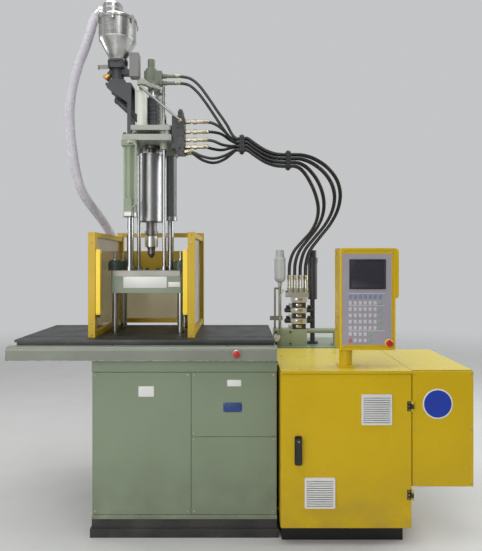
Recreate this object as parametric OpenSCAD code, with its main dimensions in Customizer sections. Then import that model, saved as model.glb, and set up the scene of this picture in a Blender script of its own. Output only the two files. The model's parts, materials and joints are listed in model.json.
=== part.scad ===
// Vertical injection moulding machine with a hydraulic clamp, a long work table, a screw
// injection unit on two guide rods and an electrical cabinet.
// Millimetres. The origin is on the floor under the clamp axis, +X right, +Y back, +Z up.

/* [Base] */
// Left face of the base, from the clamp axis
base_left = 260; // [250:5:300]
// Right face of the base, from the clamp axis
base_right = 770; // [700:10:850]
// Front face of the base, ahead of the clamp axis
base_front = 400; // [360:10:440]
// Back face of the base, behind the clamp axis
base_back = 600; // [520:10:700]
// Height of the dark plinth
plinth_h = 100; // [80:5:140]
// How far the lower half of the plinth stands out
plinth_skirt = 8; // [4:1:9]
// Wall of the plinth
plinth_wall = 10; // [6:1:14]
// Height of the base frame above the floor
base_top = 979; // [900:1:1050]
// Height of the top rail of the base frame
top_rail = 61; // [40:1:80]
// Height of the bottom sill of the base frame
sill = 23; // [15:1:40]
// Side of the square tubes of the base frame
frame_tube = 50; // [40:5:60]
// Depth of the folded covers
cover_d = 15; // [10:1:20]
// Sheet thickness of the covers
sheet_t = 2; // [1.5:0.5:3]
// Gap round each cover
seam = 3; // [2:0.5:5]
// Centre of the middle post of the base, right of the clamp axis
mid_post_x = 293; // [270:1:400]
// Height where the right-hand front covers meet
split_z = 557; // [450:1:700]

/* [Table] */
// Left end of the table bed, from the clamp axis
bed_left = 705; // [600:5:800]
// Right end of the table bed, from the clamp axis
bed_right = 757; // [700:1:765]
// Back edge of the table, behind the clamp axis
bed_back = 240; // [220:5:300]
// Height of the table bed over the base
bed_h = 78; // [60:1:100]
// Thickness of the machined table plate
plate_t = 39; // [30:1:50]
// How far the table plate stops short of the left end
plate_short = 15; // [0:1:30]
// Depth of the undercut below the front lip of the table plate
lip_d = 30; // [15:1:40]
// How far the front apron stands out
apron_d = 60; // [40:1:80]
// Height of the front apron
apron_h = 76; // [60:1:76]
// Wall of the front apron
apron_wall = 3; // [2:0.5:5]
// Depth of the bed casting that holds the tie bars, below the base top
block_d = 179; // [150:1:220]

/* [Clamp] */
// Half the tie bar spacing, left to right
tie_x = 200; // [190:1:205]
// Half the tie bar spacing, front to back
tie_y = 115; // [100:1:125]
// Tie bar diameter
tie_bar_d = 40; // [35:1:45]
// Open height between table and platen as shown
daylight = 246; // [200:1:300]
// Width of the upper platen
platen_w = 430; // [420:1:440]
// Depth of the upper platen
platen_dp = 350; // [345:1:380]
// Thickness of the upper platen
platen_t = 102; // [80:1:130]
// Thickness of the bright plate on the platen
deck_t = 32; // [20:1:40]
// Diameter of the tie bar nuts
nut_d = 88; // [70:1:90]
// Height of the tie bar nuts
nut_h = 54; // [40:1:60]
// Bore of the clamp cylinder
clamp_bore = 160; // [120:1:170]
// Outside diameter of the clamp cylinder
clamp_od = 220; // [200:1:240]
// Length of the clamp cylinder
clamp_l = 300; // [280:1:320]
// Diameter of the clamp ram's rod
ram_d = 90; // [70:1:100]
// Thickness of the crosshead under the clamp
crosshead_t = 100; // [80:1:110]
// Gap from the clamp cylinder down to the crosshead
crosshead_gap = 100; // [90:1:120]
// Bore for a mould's locating ring
locating_d = 100; // [80:1:120]
// Spacing of the mould bolt holes, left to right
mould_x = 280; // [240:1:300]
// Spacing of the mould bolt holes, front to back
mould_y = 120; // [80:1:130]
// Diameter of the mould bolt holes
mould_bolt = 14; // [10:1:18]

/* [Injection unit] */
// Gap from the nozzle tip down to the platen's deck
nozzle_gap = 77; // [60:1:120]
// Length of the nozzle under the barrel
nozzle_l = 147; // [120:1:170]
// Length of barrel between nozzle and seat plate
barrel_l = 562; // [500:1:620]
// Barrel diameter
barrel_d = 68; // [60:1:76]
// Screw diameter
screw_d = 32; // [26:1:36]
// Pitch of the screw's flight
screw_pitch = 40; // [32:1:60]
// Diameter of the stainless barrel cover
cover_od = 146; // [130:1:156]
// Length of the barrel cover
cover_l = 426; // [380:1:440]
// Thickness of the seat plate
seat_t = 36; // [25:1:45]
// Half width of the seat plate
seat_half_w = 148; // [140:1:160]
// Thickness of the upper plate of the carriage
bridge_t = 30; // [20:1:36]
// Gap between the two plates of the carriage
plate_gap = 37; // [30:1:50]
// Guide rod offset to either side
guide_x = 95; // [88:1:105]
// Guide rod offset, to the back on the left and to the front on the right
guide_y = 80; // [70:1:88]
// Guide rod diameter
guide_d = 25; // [20:1:30]
// Height of the guide rods over the platen's deck
guide_l = 1134; // [1000:1:1150]
// Lift cylinder offset to either side
lift_x = 102; // [90:1:110]
// Lift cylinder offset, to the front on the left and to the back on the right
lift_y = 145; // [140:1:150]
// Lift cylinder diameter
lift_d = 80; // [70:1:84]
// Length of the lift cylinder under its cap
lift_l = 462; // [420:1:480]
// Diameter of the lift cylinder's rod
lift_rod_d = 42; // [34:1:46]
// Injection cylinder offset to either side
inj_x = 40; // [36:1:56]
// Injection cylinder offset, to the front on the left and to the back on the right
inj_y = 90; // [84:1:100]
// Injection cylinder diameter
inj_d = 62; // [54:1:66]
// Length of the injection cylinder
inj_l = 238; // [220:1:260]
// Diameter of the injection cylinder's rod
inj_rod_d = 28; // [20:1:32]
// Thickness of the drive plate
drive_t = 25; // [20:1:35]
// Diameter of the hydraulic motor
motor_d = 92; // [80:1:100]

/* [Hopper] */
// Hopper centre, left of the clamp axis
hopper_x = 213; // [200:1:230]
// Hopper diameter
hopper_d = 230; // [200:1:260]
// Height of the hopper's straight side
hopper_h = 129; // [115:1:200]
// Height of the hopper's cone
cone_h = 126; // [100:1:160]
// Diameter of the hopper's neck
neck_d = 96; // [80:1:110]
// Wall of the hopper
hopper_wall = 2; // [1.5:0.5:3]
// Height of the loader head on the hopper
head_h = 114; // [100:1:140]

/* [Guards] */
// Centre of the guard posts, left and right of the clamp axis
post_x = 285; // [275:1:300]
// Side of the guard posts
post_w = 40; // [30:1:44]
// Front guard post, ahead of the clamp axis
post_front = 300; // [280:1:320]
// Rear guard post, behind the clamp axis
post_back = 380; // [340:1:400]
// Height of the guard posts over the table
post_h = 605; // [500:1:650]
// Width of the light curtain's housing
curtain_w = 29; // [20:1:30]
// Length of the light curtain's housing
curtain_l = 357; // [300:1:400]
// Height of the light curtain over the table
curtain_z = 139; // [100:1:180]
// Thickness of the guard sheets
guard_t = 5; // [3:1:8]

/* [Cabinet] */
// Left side of the electrical cabinet, from the clamp axis
cab_left = 784; // [781:1:800]
// Width of the electrical cabinet
cab_w = 706; // [650:1:760]
// Front of the cabinet door, ahead of the clamp axis
cab_front = 490; // [470:1:520]
// Depth of the cabinet behind its door
cab_d = 665; // [600:1:680]
// Underside of the cabinet above the floor
cab_z = 95; // [70:1:120]
// Top of the cabinet above the floor
cab_top = 945; // [900:1:980]
// Sheet thickness of the cabinet
cab_t = 2.5; // [2:0.5:4]
// Thickness of the cabinet door over its fold
door_d = 18; // [14:1:24]
// Width of the side box
side_w = 330; // [280:1:380]
// Underside of the side box above the floor
side_z = 319; // [250:1:400]
// Side of the filter grilles
filter_w = 164; // [140:1:180]

/* [Operator panel] */
// Left side of the operator panel, from the clamp axis
panel_left = 1108; // [1080:1:1130]
// Width of the operator panel
panel_w = 305; // [280:1:330]
// Height of the operator panel
panel_h = 555; // [500:1:600]
// Depth of the operator panel
panel_d = 150; // [120:1:170]
// Gap under the operator panel
panel_lift = 105; // [80:1:140]
// Width of the operator panel's foot
foot_w = 85; // [70:1:90]

/* [Hydraulics] */
// Width of the oil tank
tank_w = 650; // [560:10:700]
// Depth of the oil tank
tank_dp = 425; // [380:5:500]
// Gap behind the cabinet to the oil tank
tank_gap = 40; // [30:1:80]
// Diameter of the pump's motor
pump_motor_d = 180; // [150:1:200]
// Diameter of the hydraulic hoses
hose_d = 18; // [14:1:20]
// Diameter of the loader hose
loader_d = 60; // [50:1:62]

/* [Hidden] */
$fn = 64;

// Radial running clearance of the sliding and turning pieces
fit = 0.05;
// Clearance round pieces that pass through a hole without touching it
pass = 3;

tie_r = tie_bar_d / 2;
cover_top = base_top - top_rail;
deck_cover = base_top + 4;
cover_low = plinth_h + sill;
bed_z = base_top;
plate_z = bed_z + bed_h;
table_top = plate_z + plate_t;
stop_x = 545;
stop_z = plate_z - 28;
platen_z = table_top + daylight;
deck_z = platen_z + platen_t;
deck_top = deck_z + deck_t;
block_w = 2 * (tie_x + 35);
block_y = 2 * (tie_y + 50);
block_z = base_top - block_d;
clamp_z = block_z - clamp_l;
crosshead_top = clamp_z - crosshead_gap;
crosshead_z = crosshead_top - crosshead_t;
low_nut_h = 45;

tip_z = deck_top + nozzle_gap;
barrel_z = tip_z + nozzle_l;
seat_z = barrel_z + barrel_l;
seat_top = seat_z + seat_t;
bridge_z = seat_top + plate_gap;
bridge_top = bridge_z + bridge_t;
inj_top = bridge_top + inj_l;
drive_z = inj_top + 16;
drive_top = drive_z + drive_t;
guide_top = deck_top + guide_l;
feed_top = inj_top - 43;
shelf_z = drive_top - 11;
shelf_t = 14;
throat_z = shelf_z + shelf_t;
throat_h = 152;
neck_z = throat_z + throat_h;
cone_top = neck_z + cone_h;
hopper_top = cone_top + hopper_h;
gate_z = throat_z + 120;
spout_out = 35;

// Feed chute in the X-Z plane, from below the hopper to its socket on the feed block
chute_from = [-hopper_x, throat_z - 95];
chute_z = bridge_z + 17;
chute_slope = atan2(chute_from[1] - chute_z, hopper_x);
chute_socket = 84;
chute_l = norm([hopper_x, chute_from[1] - chute_z]) - chute_socket - 0.3;

cab_right = cab_left + cab_w;
cab_mid = cab_left + cab_w / 2;
cab_back = -cab_front + door_d + cab_d;
hinge_t = 3;
side_left = cab_right + hinge_t;
tank_x = cab_left + 6;
tank_y = cab_back + tank_gap;
tank_top = cab_top;
manifold_y = tank_y + 95;
manifold_x = tank_x + 182;
hinge_x = cab_right + hinge_t / 2;
hinge_y = -cab_front - 7;
hinge_z = [754, 277];
hinge_h = 52;
spindle_x = cab_left + 94;
spindle_z = 571;
panel_z = cab_top + panel_lift;
panel_front = cab_front - 30;
pivot_x = panel_left + 47;
pivot_y = -panel_front + 75;

// Rows of hoses in a clamp, top row first, and the two columns of each row
row_z = [36, 12, -12, -36];
col_y = [-12, 12];
clamp_y = -40;
inner_x = 560;
inner_z = 2265;
outer_x = 850;
outer_z = 2165;
clamp_w = 30;
hose_r = hose_d / 2;

// Hose routes; the bundle and the arcs have one list for each row of hoses
bundle_route = [[590, 0, 0], [612, 0, 0], [660, 0, -34], [720, 0, -72], [780, 0, -94],
    [828, 0, -100], [850, 0, -100]];
arc_x = [1022, 984, 946, 908];
arc_bend = [
    [[960, -36, 2198], [1035, -20, 2178], [1125, 20, 2130], [1195, 75, 2060], [1228, 135, 1975],
     [1222, 190, 1880], [1180, 240, 1785], [1110, 280, 1690], [1048, 308, 1600], [1024, 322, 1510]],
    [[955, -36, 2173], [1022, -20, 2150], [1100, 20, 2102], [1160, 75, 2036], [1190, 135, 1958],
     [1184, 190, 1870], [1144, 240, 1780], [1076, 280, 1690], [1014, 308, 1605], [988, 322, 1515]],
    [[945, -36, 2145], [995, -20, 2116], [1052, 20, 2060], [1096, 75, 1990], [1120, 135, 1912],
     [1117, 190, 1832], [1086, 240, 1755], [1032, 280, 1680], [978, 308, 1605], [950, 322, 1520]],
    [[938, -36, 2117], [976, -20, 2083], [1020, 20, 2024], [1058, 75, 1955], [1082, 135, 1880],
     [1079, 190, 1806], [1046, 240, 1732], [990, 280, 1665], [938, 308, 1598], [912, 322, 1518]]
];
arc_route = [for (k = [0 : 3]) concat(
    [for (x = [880, 905]) [x, clamp_y, outer_z + row_z[k]]], arc_bend[k],
    [for (z = [1430, 1402]) [arc_x[k], manifold_y - 3, z]])];
motor_route = [
    [[152, 0, 2708], [172, 0, 2708], [245, -2, 2694], [305, -8, 2646], [362, -18, 2568],
     [420, -28, 2480], [478, -40, 2394], [512, -48, 2330], [540, -52, 2301], [560, -52, 2301]],
    [[152, 0, 2664], [172, 0, 2664], [236, 2, 2654], [290, 6, 2612], [345, 4, 2542],
     [402, -4, 2456], [458, -14, 2370], [500, -24, 2316], [538, -28, 2301], [560, -28, 2301]]
];
valve_route = [
    [[336, -80, 2396], [352, -80, 2396], [400, -80, 2386], [450, -74, 2356], [498, -62, 2308],
     [538, -52, 2277], [560, -52, 2277]],
    [[336, -80, 2334], [352, -80, 2334], [400, -72, 2334], [450, -52, 2326], [498, -34, 2296],
     [538, -28, 2277], [560, -28, 2277]],
    [[336, -80, 2284], [352, -80, 2284], [400, -84, 2276], [450, -80, 2256], [498, -66, 2250],
     [538, -52, 2253], [560, -52, 2253]],
    [[336, -80, 2240], [352, -80, 2240], [400, -58, 2232], [450, -34, 2232], [498, -28, 2244],
     [538, -28, 2253], [560, -28, 2253]],
    [[250, -105, 2206], [268, -105, 2206], [330, -104, 2178], [400, -98, 2166],
     [470, -78, 2188], [535, -52, 2229], [560, -52, 2229]],
    [[250, -55, 2206], [268, -55, 2206], [330, -46, 2166], [400, -32, 2152],
     [470, -26, 2178], [535, -28, 2229], [560, -28, 2229]]
];
loader_route = [
    [-352, 35, 3110], [-364, 35, 3098], [-381, 36, 3068], [-397, 37, 3014], [-416, 38, 2956],
    [-438, 38, 2890], [-465, 37, 2822], [-487, 32, 2744], [-503, 24, 2670], [-514, 12, 2590],
    [-520, 4, 2495], [-517, 0, 2390], [-506, 0, 2270], [-490, 0, 2160], [-472, 4, 2065],
    [-448, 20, 1980], [-412, 65, 1905], [-382, 140, 1845], [-362, 240, 1785], [-350, 340, 1725],
    [-342, 425, 1650], [-334, 465, 1570], [-330, 470, 1505], [-330, 470, 1482]
];

// Box between two opposite corners
module box(lo, hi) {
    translate(lo) cube(hi - lo);
}

// Round bar along Z, X or Y
module bar_z(x, y, z0, z1, d) {
    translate([x, y, z0]) cylinder(h = z1 - z0, d = d);
}
module bar_x(x0, x1, y, z, d) {
    translate([x0, y, z]) rotate([0, 90, 0]) cylinder(h = x1 - x0, d = d);
}
module bar_y(x, y0, y1, z, d) {
    translate([x, y0, z]) rotate([-90, 0, 0]) cylinder(h = y1 - y0, d = d);
}

// Hexagonal bar along Z and along X, size across flats
module hex_z(x, y, z0, z1, flats) {
    translate([x, y, z0]) cylinder(h = z1 - z0, d = flats / cos(30), $fn = 6);
}
module hex_x(x0, x1, y, z, flats) {
    translate([x0, y, z]) rotate([0, 90, 0]) cylinder(h = x1 - x0, d = flats / cos(30), $fn = 6);
}

// Rectangle with round corners, centred
module round_rect(w, d, r) {
    square([w - 2 * r, d], center = true);
    square([w, d - 2 * r], center = true);
    for (x = [-1, 1], y = [-1, 1])
        translate([x * (w / 2 - r), y * (d / 2 - r)]) circle(r);
}

// Plate with round corners in XY
module round_plate(x, y, z, w, d, t, r) {
    translate([x, y, z]) linear_extrude(t) round_rect(w, d, r);
}

// Places its children at the four corners of a centred rectangle
module corners(w, d) {
    for (x = [-1, 1], y = [-1, 1])
        translate([x * w / 2, y * d / 2, 0]) children();
}

// Places its children at a point and at the point opposite the clamp axis
module opposite(x, y) {
    translate([x, y, 0]) children();
    translate([-x, -y, 0]) children();
}

// Direction of a swept tube at a point, and a ring of points across it
function unit(v) = v / norm(v);
function along(p, i) = unit(p[min(i + 1, len(p) - 1)] - p[max(i - 1, 0)]);
function ring(p, i, r, sides) =
    let (t = along(p, i), u = unit(cross([0, 1, 0], t)), v = cross(t, u))
    [for (k = [0 : sides - 1]) p[i] + r * (cos(360 * k / sides) * u + sin(360 * k / sides) * v)];

// Hose swept along a list of points
module hose(p, d, sides = 8) {
    n = len(p);
    points = [for (i = [0 : n - 1]) each ring(p, i, d / 2, sides)];
    start = [for (k = [0 : sides - 1]) k];
    end = [for (k = [sides - 1 : -1 : 0]) (n - 1) * sides + k];
    walls = [
        for (i = [0 : n - 2], k = [0 : sides - 1])
            [i * sides + k, (i + 1) * sides + k,
             (i + 1) * sides + (k + 1) % sides, i * sides + (k + 1) % sides]
    ];
    polyhedron(points, concat([start], walls, [end]));
}

// Folded cover with its face at y = 0 and its returns behind
module folded_cover(w, h) {
    difference() {
        cube([w, cover_d, h]);
        translate([sheet_t, sheet_t, sheet_t])
            cube([w - 2 * sheet_t, cover_d, h - 2 * sheet_t]);
    }
}

module base_plinth() color([0.11, 0.12, 0.13]) {
    skirt = plinth_skirt;
    difference() {
        union() {
            box([-base_left - skirt, -base_front - skirt, 0],
                [base_right + skirt, base_back + skirt, plinth_h / 2]);
            box([-base_left, -base_front, 0], [base_right, base_back, plinth_h]);
        }
        box([-base_left + plinth_wall, -base_front + plinth_wall, plinth_wall],
            [base_right - plinth_wall, base_back - plinth_wall, plinth_h + 1]);
    }
}

// Rectangular ring of the base frame between two heights
module frame_ring(z0, z1) {
    difference() {
        box([-base_left, -base_front, z0], [base_right, base_back, z1]);
        box([-base_left + frame_tube, -base_front + frame_tube, z0 - 1],
            [base_right - frame_tube, base_back - frame_tube, z1 + 1]);
    }
}

module base_frame() color([0.50, 0.55, 0.46]) {
    post_lo = [-base_left + cover_d, mid_post_x - frame_tube / 2, base_right - cover_d - frame_tube];
    post_y = [-base_front + cover_d, base_back - cover_d - frame_tube];
    difference() {
        union() {
            frame_ring(plinth_h, cover_low);
            frame_ring(cover_top, base_top);
            for (x = post_lo, y = post_y)
                box([x, y, cover_low], [x + frame_tube, y + frame_tube, cover_top]);
            for (y = [-block_y / 2 - frame_tube, block_y / 2])
                box([-base_left, y, cover_top], [base_right, y + frame_tube, base_top]);
        }
        box([-block_w / 2, -block_y / 2, block_z], [block_w / 2, block_y / 2, base_top + 1]);
    }
}

module front_covers() color([0.50, 0.55, 0.46]) {
    x1 = mid_post_x + seam / 2;
    right_w = base_right - mid_post_x - 1.5 * seam;
    translate([-base_left + seam, -base_front, cover_low + seam])
        folded_cover(base_left + mid_post_x - 1.5 * seam, cover_top - cover_low - 2 * seam);
    translate([x1, -base_front, cover_low + seam])
        folded_cover(right_w, split_z - cover_low - 1.5 * seam);
    translate([x1, -base_front, split_z + seam / 2])
        folded_cover(right_w, cover_top - split_z - 1.5 * seam);
}

// Rear cover with rows of pressed louvres over slots
module louvred_cover(w, h) {
    louvre_w = 150;
    louvre_h = 14;
    rows = floor((h - 320) / 40);
    columns = floor((w - 60) / (louvre_w + 30));
    x0 = (w - columns * (louvre_w + 30) + 30) / 2;
    difference() {
        folded_cover(w, h);
        for (c = [0 : columns - 1], r = [0 : rows - 1])
            translate([x0 + c * (louvre_w + 30), -1, 200 + r * 40])
                cube([louvre_w, sheet_t + 2, louvre_h]);
    }
    for (c = [0 : columns - 1], r = [0 : rows - 1])
        translate([x0 + c * (louvre_w + 30), 0, 200 + r * 40])
            rotate([90, 0, 90])
                linear_extrude(louvre_w)
                    polygon([[sheet_t, louvre_h], [0, louvre_h], [-10, 3], [-10, 0], [-8, 0],
                             [-8, 2], [0, louvre_h - 3], [sheet_t, louvre_h - 3]]);
}

module side_and_rear_covers() color([0.50, 0.55, 0.46]) {
    h = cover_top - cover_low - 2 * seam;
    side_l = base_front + base_back - 2 * cover_d - 2 * seam;
    rear_w = (base_left + base_right) / 2 - 1.5 * seam;
    translate([-base_left, base_back - cover_d - seam, cover_low + seam])
        rotate([0, 0, -90]) folded_cover(side_l, h);
    translate([base_right, -base_front + cover_d + seam, cover_low + seam])
        rotate([0, 0, 90]) folded_cover(side_l, h);
    translate([base_right - seam, base_back, cover_low + seam])
        rotate([0, 0, 180]) louvred_cover(rear_w, h);
    translate([base_right - 2 * seam - rear_w, base_back, cover_low + seam])
        rotate([0, 0, 180]) louvred_cover(rear_w, h);
    // Cover plate behind the table
    box([-base_left + seam, bed_back + seam, base_top],
        [base_right - seam, base_back - seam, deck_cover]);
}

module table_bed() color([0.45, 0.50, 0.42]) {
    rib = 16;
    pocket_d = bed_h - 22;
    pockets = 3;
    left_span = bed_left - base_left - rib;
    pocket_w = (left_span - pockets * rib) / pockets;
    difference() {
        union() {
            box([-bed_left, -base_front, bed_z], [bed_right, bed_back, plate_z]);
            box([-block_w / 2, -block_y / 2, block_z], [block_w / 2, block_y / 2, bed_z + 1]);
        }
        for (i = [0 : pockets - 1], y = [0 : 1])
            translate([-bed_left + rib + i * (pocket_w + rib),
                       -base_front + rib + y * ((base_front + bed_back - rib) / 2), bed_z - 1])
                cube([pocket_w, (base_front + bed_back - 3 * rib) / 2, pocket_d + 1]);
        corners(2 * tie_x, 2 * tie_y) {
            bar_z(0, 0, block_z - 1, bed_z + 1, tie_bar_d + 2 * fit);
            bar_z(0, 0, bed_z, plate_z + 1, tie_bar_d + 2 * pass);
        }
    }
}

module table_apron() color([0.50, 0.55, 0.46]) {
    top = plate_z + 10;
    low = top - apron_h;
    nose_r = 20;
    end_t = 9;
    // Hollow front beam with a rounded top edge
    difference() {
        translate([-bed_left - end_t, 0, 0]) rotate([90, 0, 90])
            linear_extrude(bed_left + bed_right + 2 * end_t) difference() {
                union() {
                    translate([-base_front - apron_d, low]) square([apron_d, apron_h - nose_r]);
                    translate([-base_front - apron_d + nose_r, low])
                        square([apron_d - nose_r, apron_h]);
                    translate([-base_front - apron_d + nose_r, top - nose_r]) circle(nose_r);
                }
                translate([-base_front - apron_d + apron_wall, low + apron_wall])
                    square([apron_d - 2 * apron_wall, apron_h - nose_r - apron_wall]);
            }
        bar_y(stop_x, -base_front - apron_d - 1, -base_front - apron_d + 5, stop_z, 22 + 2 * fit);
    }
    // Skirts at both ends of the bed
    box([-bed_left - end_t, -base_front, low], [-bed_left, bed_back, plate_z]);
    box([bed_right, -base_front, low], [bed_right + end_t, bed_back, plate_z]);
}

module bed_plate() color([0.72, 0.73, 0.70]) {
    lip_t = 14;
    t_neck = 14;
    t_foot = 24;
    difference() {
        box([-bed_left + plate_short, -base_front, plate_z], [bed_right, bed_back, table_top]);
        // Undercut below the front lip, above the apron
        box([-bed_left, -base_front - 1, plate_z - 1],
            [bed_right + 1, -base_front + lip_d, table_top - lip_t]);
        corners(2 * tie_x, 2 * tie_y) bar_z(0, 0, plate_z - 1, table_top + 1, tie_bar_d + 2 * pass);
        corners(mould_x, mould_y) bar_z(0, 0, plate_z + 5, table_top + 1, mould_bolt);
        // Two T-slots along the table, outside the tie bars
        for (y = [-base_front + 110, bed_back - 60]) {
            box([-bed_left, y - t_neck / 2, table_top - 22], [bed_right + 1, y + t_neck / 2, table_top + 1]);
            box([-bed_left, y - t_foot / 2, table_top - 24], [bed_right + 1, y + t_foot / 2, table_top - 14]);
        }
    }
}

module clamp_cylinder() color([0.35, 0.42, 0.36]) {
    flange_t = 30;
    end_t = 15;
    difference() {
        union() {
            bar_z(0, 0, clamp_z, block_z, clamp_od);
            round_plate(0, 0, block_z - flange_t, clamp_od + 60, clamp_od + 40, flange_t, 25);
            for (z = [clamp_z + 30, block_z - flange_t - 35])
                bar_y(0, -clamp_od / 2 - 18, 0, z, 36);
        }
        bar_z(0, 0, clamp_z + end_t, block_z - end_t, clamp_bore);
        bar_z(0, 0, clamp_z - 1, clamp_z + end_t + 1, ram_d + 2 * fit);
    }
}

module clamp_ram() color([0.70, 0.71, 0.72]) {
    piston_t = 60;
    piston_z = clamp_z + 140;
    bar_z(0, 0, piston_z, piston_z + piston_t, clamp_bore - 2 * fit);
    bar_z(0, 0, crosshead_top, piston_z + 1, ram_d);
    difference() {
        round_plate(0, 0, crosshead_z, block_w, block_y, crosshead_t, 30);
        corners(2 * tie_x, 2 * tie_y)
            bar_z(0, 0, crosshead_z - 1, crosshead_top + 1, tie_bar_d + 0.6);
        for (y = [-1, 1])
            translate([0, y * block_y / 2, crosshead_z - 1])
                linear_extrude(crosshead_t / 2) round_rect(2 * tie_x - 120, 90, 20);
    }
}

module tie_bars() color([0.82, 0.83, 0.84]) {
    tip_h = 16;
    corners(2 * tie_x, 2 * tie_y) {
        bar_z(0, 0, crosshead_z - low_nut_h - 10, deck_top + nut_h + tip_h, tie_bar_d);
        bar_z(0, 0, deck_top + nut_h + tip_h, deck_top + nut_h + tip_h + 45, tie_bar_d / 2);
    }
}

module tie_bar_nuts() color([0.16, 0.24, 0.17]) {
    corners(2 * tie_x, 2 * tie_y) {
        difference() {
            union() {
                bar_z(0, 0, deck_top, deck_top + nut_h, nut_d);
                bar_z(0, 0, deck_top + nut_h, deck_top + nut_h + 8, nut_d - 18);
            }
            bar_z(0, 0, deck_top - 1, deck_top + nut_h + 9, tie_bar_d + 0.4);
            for (a = [0 : 90 : 270])
                rotate([0, 0, a]) bar_x(nut_d / 2 - 12, nut_d, 0, deck_top + nut_h / 2, 10);
        }
        difference() {
            bar_z(0, 0, crosshead_z - low_nut_h, crosshead_z, 64);
            bar_z(0, 0, crosshead_z - low_nut_h - 1, crosshead_z + 1, tie_bar_d + 0.4);
        }
    }
}

module upper_platen() color([0.47, 0.52, 0.43]) {
    locating_h = 12;
    sprue_d = 70;
    difference() {
        round_plate(0, 0, platen_z, platen_w, platen_dp, platen_t, 12);
        corners(2 * tie_x, 2 * tie_y)
            bar_z(0, 0, platen_z - 1, deck_z + 1, tie_bar_d + 0.6);
        corners(mould_x, mould_y)
            bar_z(0, 0, platen_z - 1, platen_z + 30, mould_bolt);
        bar_z(0, 0, platen_z - 1, platen_z + locating_h, locating_d);
        bar_z(0, 0, platen_z, deck_z + 1, sprue_d);
    }
}

module platen_deck() color([0.78, 0.79, 0.78]) {
    sprue_d = 70;
    difference() {
        round_plate(0, 0, deck_z, platen_w - 6, platen_dp - 6, deck_t, 10);
        corners(2 * tie_x, 2 * tie_y)
            bar_z(0, 0, deck_z - 1, deck_top + 1, tie_bar_d + 0.6);
        bar_z(0, 0, deck_z - 1, deck_top + 1, sprue_d);
        // Sockets of the guide rods and the lift rods
        opposite(guide_x, -guide_y) bar_z(0, 0, deck_top - 20, deck_top + 1, guide_d);
        opposite(-lift_x, -lift_y) bar_z(0, 0, deck_top - 20, deck_top + 1, lift_rod_d - 8);
    }
}

module guide_and_lift_rods() color([0.86, 0.87, 0.88]) {
    piston_t = 30;
    piston_z = seat_z - lift_l / 2 - 20;
    opposite(guide_x, -guide_y) {
        bar_z(0, 0, deck_top - 20, guide_top, guide_d);
        bar_z(0, 0, deck_top, deck_top + 22, guide_d + 20);
        bar_z(0, 0, guide_top, guide_top + 6, guide_d - 8);
    }
    opposite(-lift_x, -lift_y) {
        bar_z(0, 0, deck_top - 20, deck_top, lift_rod_d - 8);
        bar_z(0, 0, deck_top, piston_z + 1, lift_rod_d);
        bar_z(0, 0, deck_top, deck_top + 26, lift_rod_d + 14);
        bar_z(0, 0, piston_z, piston_z + piston_t, lift_d - 16 - 2 * fit);
    }
}

module lift_cylinders() color([0.42, 0.55, 0.44]) {
    cap_h = 36;
    end_t = 12;
    wall = 8;
    low = seat_z - lift_l;
    opposite(-lift_x, -lift_y) {
        difference() {
            union() {
                bar_z(0, 0, low, seat_z - cap_h, lift_d);
                bar_z(0, 0, low, low + 26, lift_d + 8);
                round_plate(0, 0, seat_z - cap_h, lift_d + 12, lift_d + 12, cap_h, 10);
            }
            bar_z(0, 0, low + end_t, seat_z - end_t, lift_d - 2 * wall);
            bar_z(0, 0, low - 1, low + end_t + 1, lift_rod_d + 2 * fit);
        }
    }
    // Port valve on the front cylinder
    difference() {
        round_plate(-lift_x, -lift_y - lift_d / 2 - 10, low + 2, 50, 36, 104, 6);
        bar_z(-lift_x, -lift_y, low, low + 120, lift_d + 9);
    }
}

module seat_plate() color([0.55, 0.57, 0.52]) {
    seat_dp = 2 * lift_y + 60;
    bridge_mid = 18;
    bridge_w = 250;
    difference() {
        union() {
            round_plate(0, 0, seat_z, 2 * seat_half_w, seat_dp, seat_t, 14);
            round_plate(bridge_mid, 0, bridge_z, bridge_w, 2 * (inj_y + 38), bridge_t, 14);
            translate([bridge_mid, 0, 0]) corners(bridge_w - 50, 2 * inj_y + 34)
                bar_z(0, 0, seat_top - 1, bridge_z + 1, 30);
            opposite(guide_x, -guide_y)
                bar_z(0, 0, seat_z - 40, bridge_top + 14, guide_d + 26);
        }
        opposite(guide_x, -guide_y)
            bar_z(0, 0, seat_z - 41, bridge_top + 15, guide_d + 2 * fit);
        bar_z(0, 0, seat_z - 1, bridge_top + 1, barrel_d + 20);
        // Gap that lets the feed chute reach the feed block
        box([-bridge_w, -30, bridge_z - 1], [0, 30, bridge_top + 1]);
    }
}

module feed_block() color([0.16, 0.16, 0.17]) {
    block = 84;
    neck = barrel_d + 20;
    difference() {
        union() {
            bar_z(0, 0, seat_z, bridge_top, neck - 0.6);
            round_plate(0, 0, bridge_top, block, block, feed_top - bridge_top, 8);
            for (z = [bridge_top + 62 : 26 : feed_top - 30])
                round_plate(0, 0, z, block + 8, block + 8, 10, 10);
            translate([0, 0, chute_z]) rotate([0, chute_slope - 90, 0])
                cylinder(h = chute_socket, d = 48);
        }
        bar_z(0, 0, seat_z - 1, seat_z + 60, barrel_d);
        bar_z(0, 0, seat_z, feed_top + 1, screw_d + 0.2);
        // Throat where the pellets drop in
        translate([0, 0, chute_z]) rotate([0, chute_slope - 90, 0])
            cylinder(h = chute_socket + 1, d = 32);
    }
}

module barrel() color([0.40, 0.38, 0.36]) {
    difference() {
        union() {
            bar_z(0, 0, barrel_z, seat_z + 59, barrel_d - 0.4);
            bar_z(0, 0, seat_z - 22, seat_z, barrel_d + 44);
            bar_z(0, 0, barrel_z, barrel_z + 24, barrel_d + 14);
        }
        bar_z(0, 0, barrel_z + 20, seat_z + 60, screw_d + 0.2);
        bar_z(0, 0, barrel_z - 1, barrel_z + 21, 10);
    }
}

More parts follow.
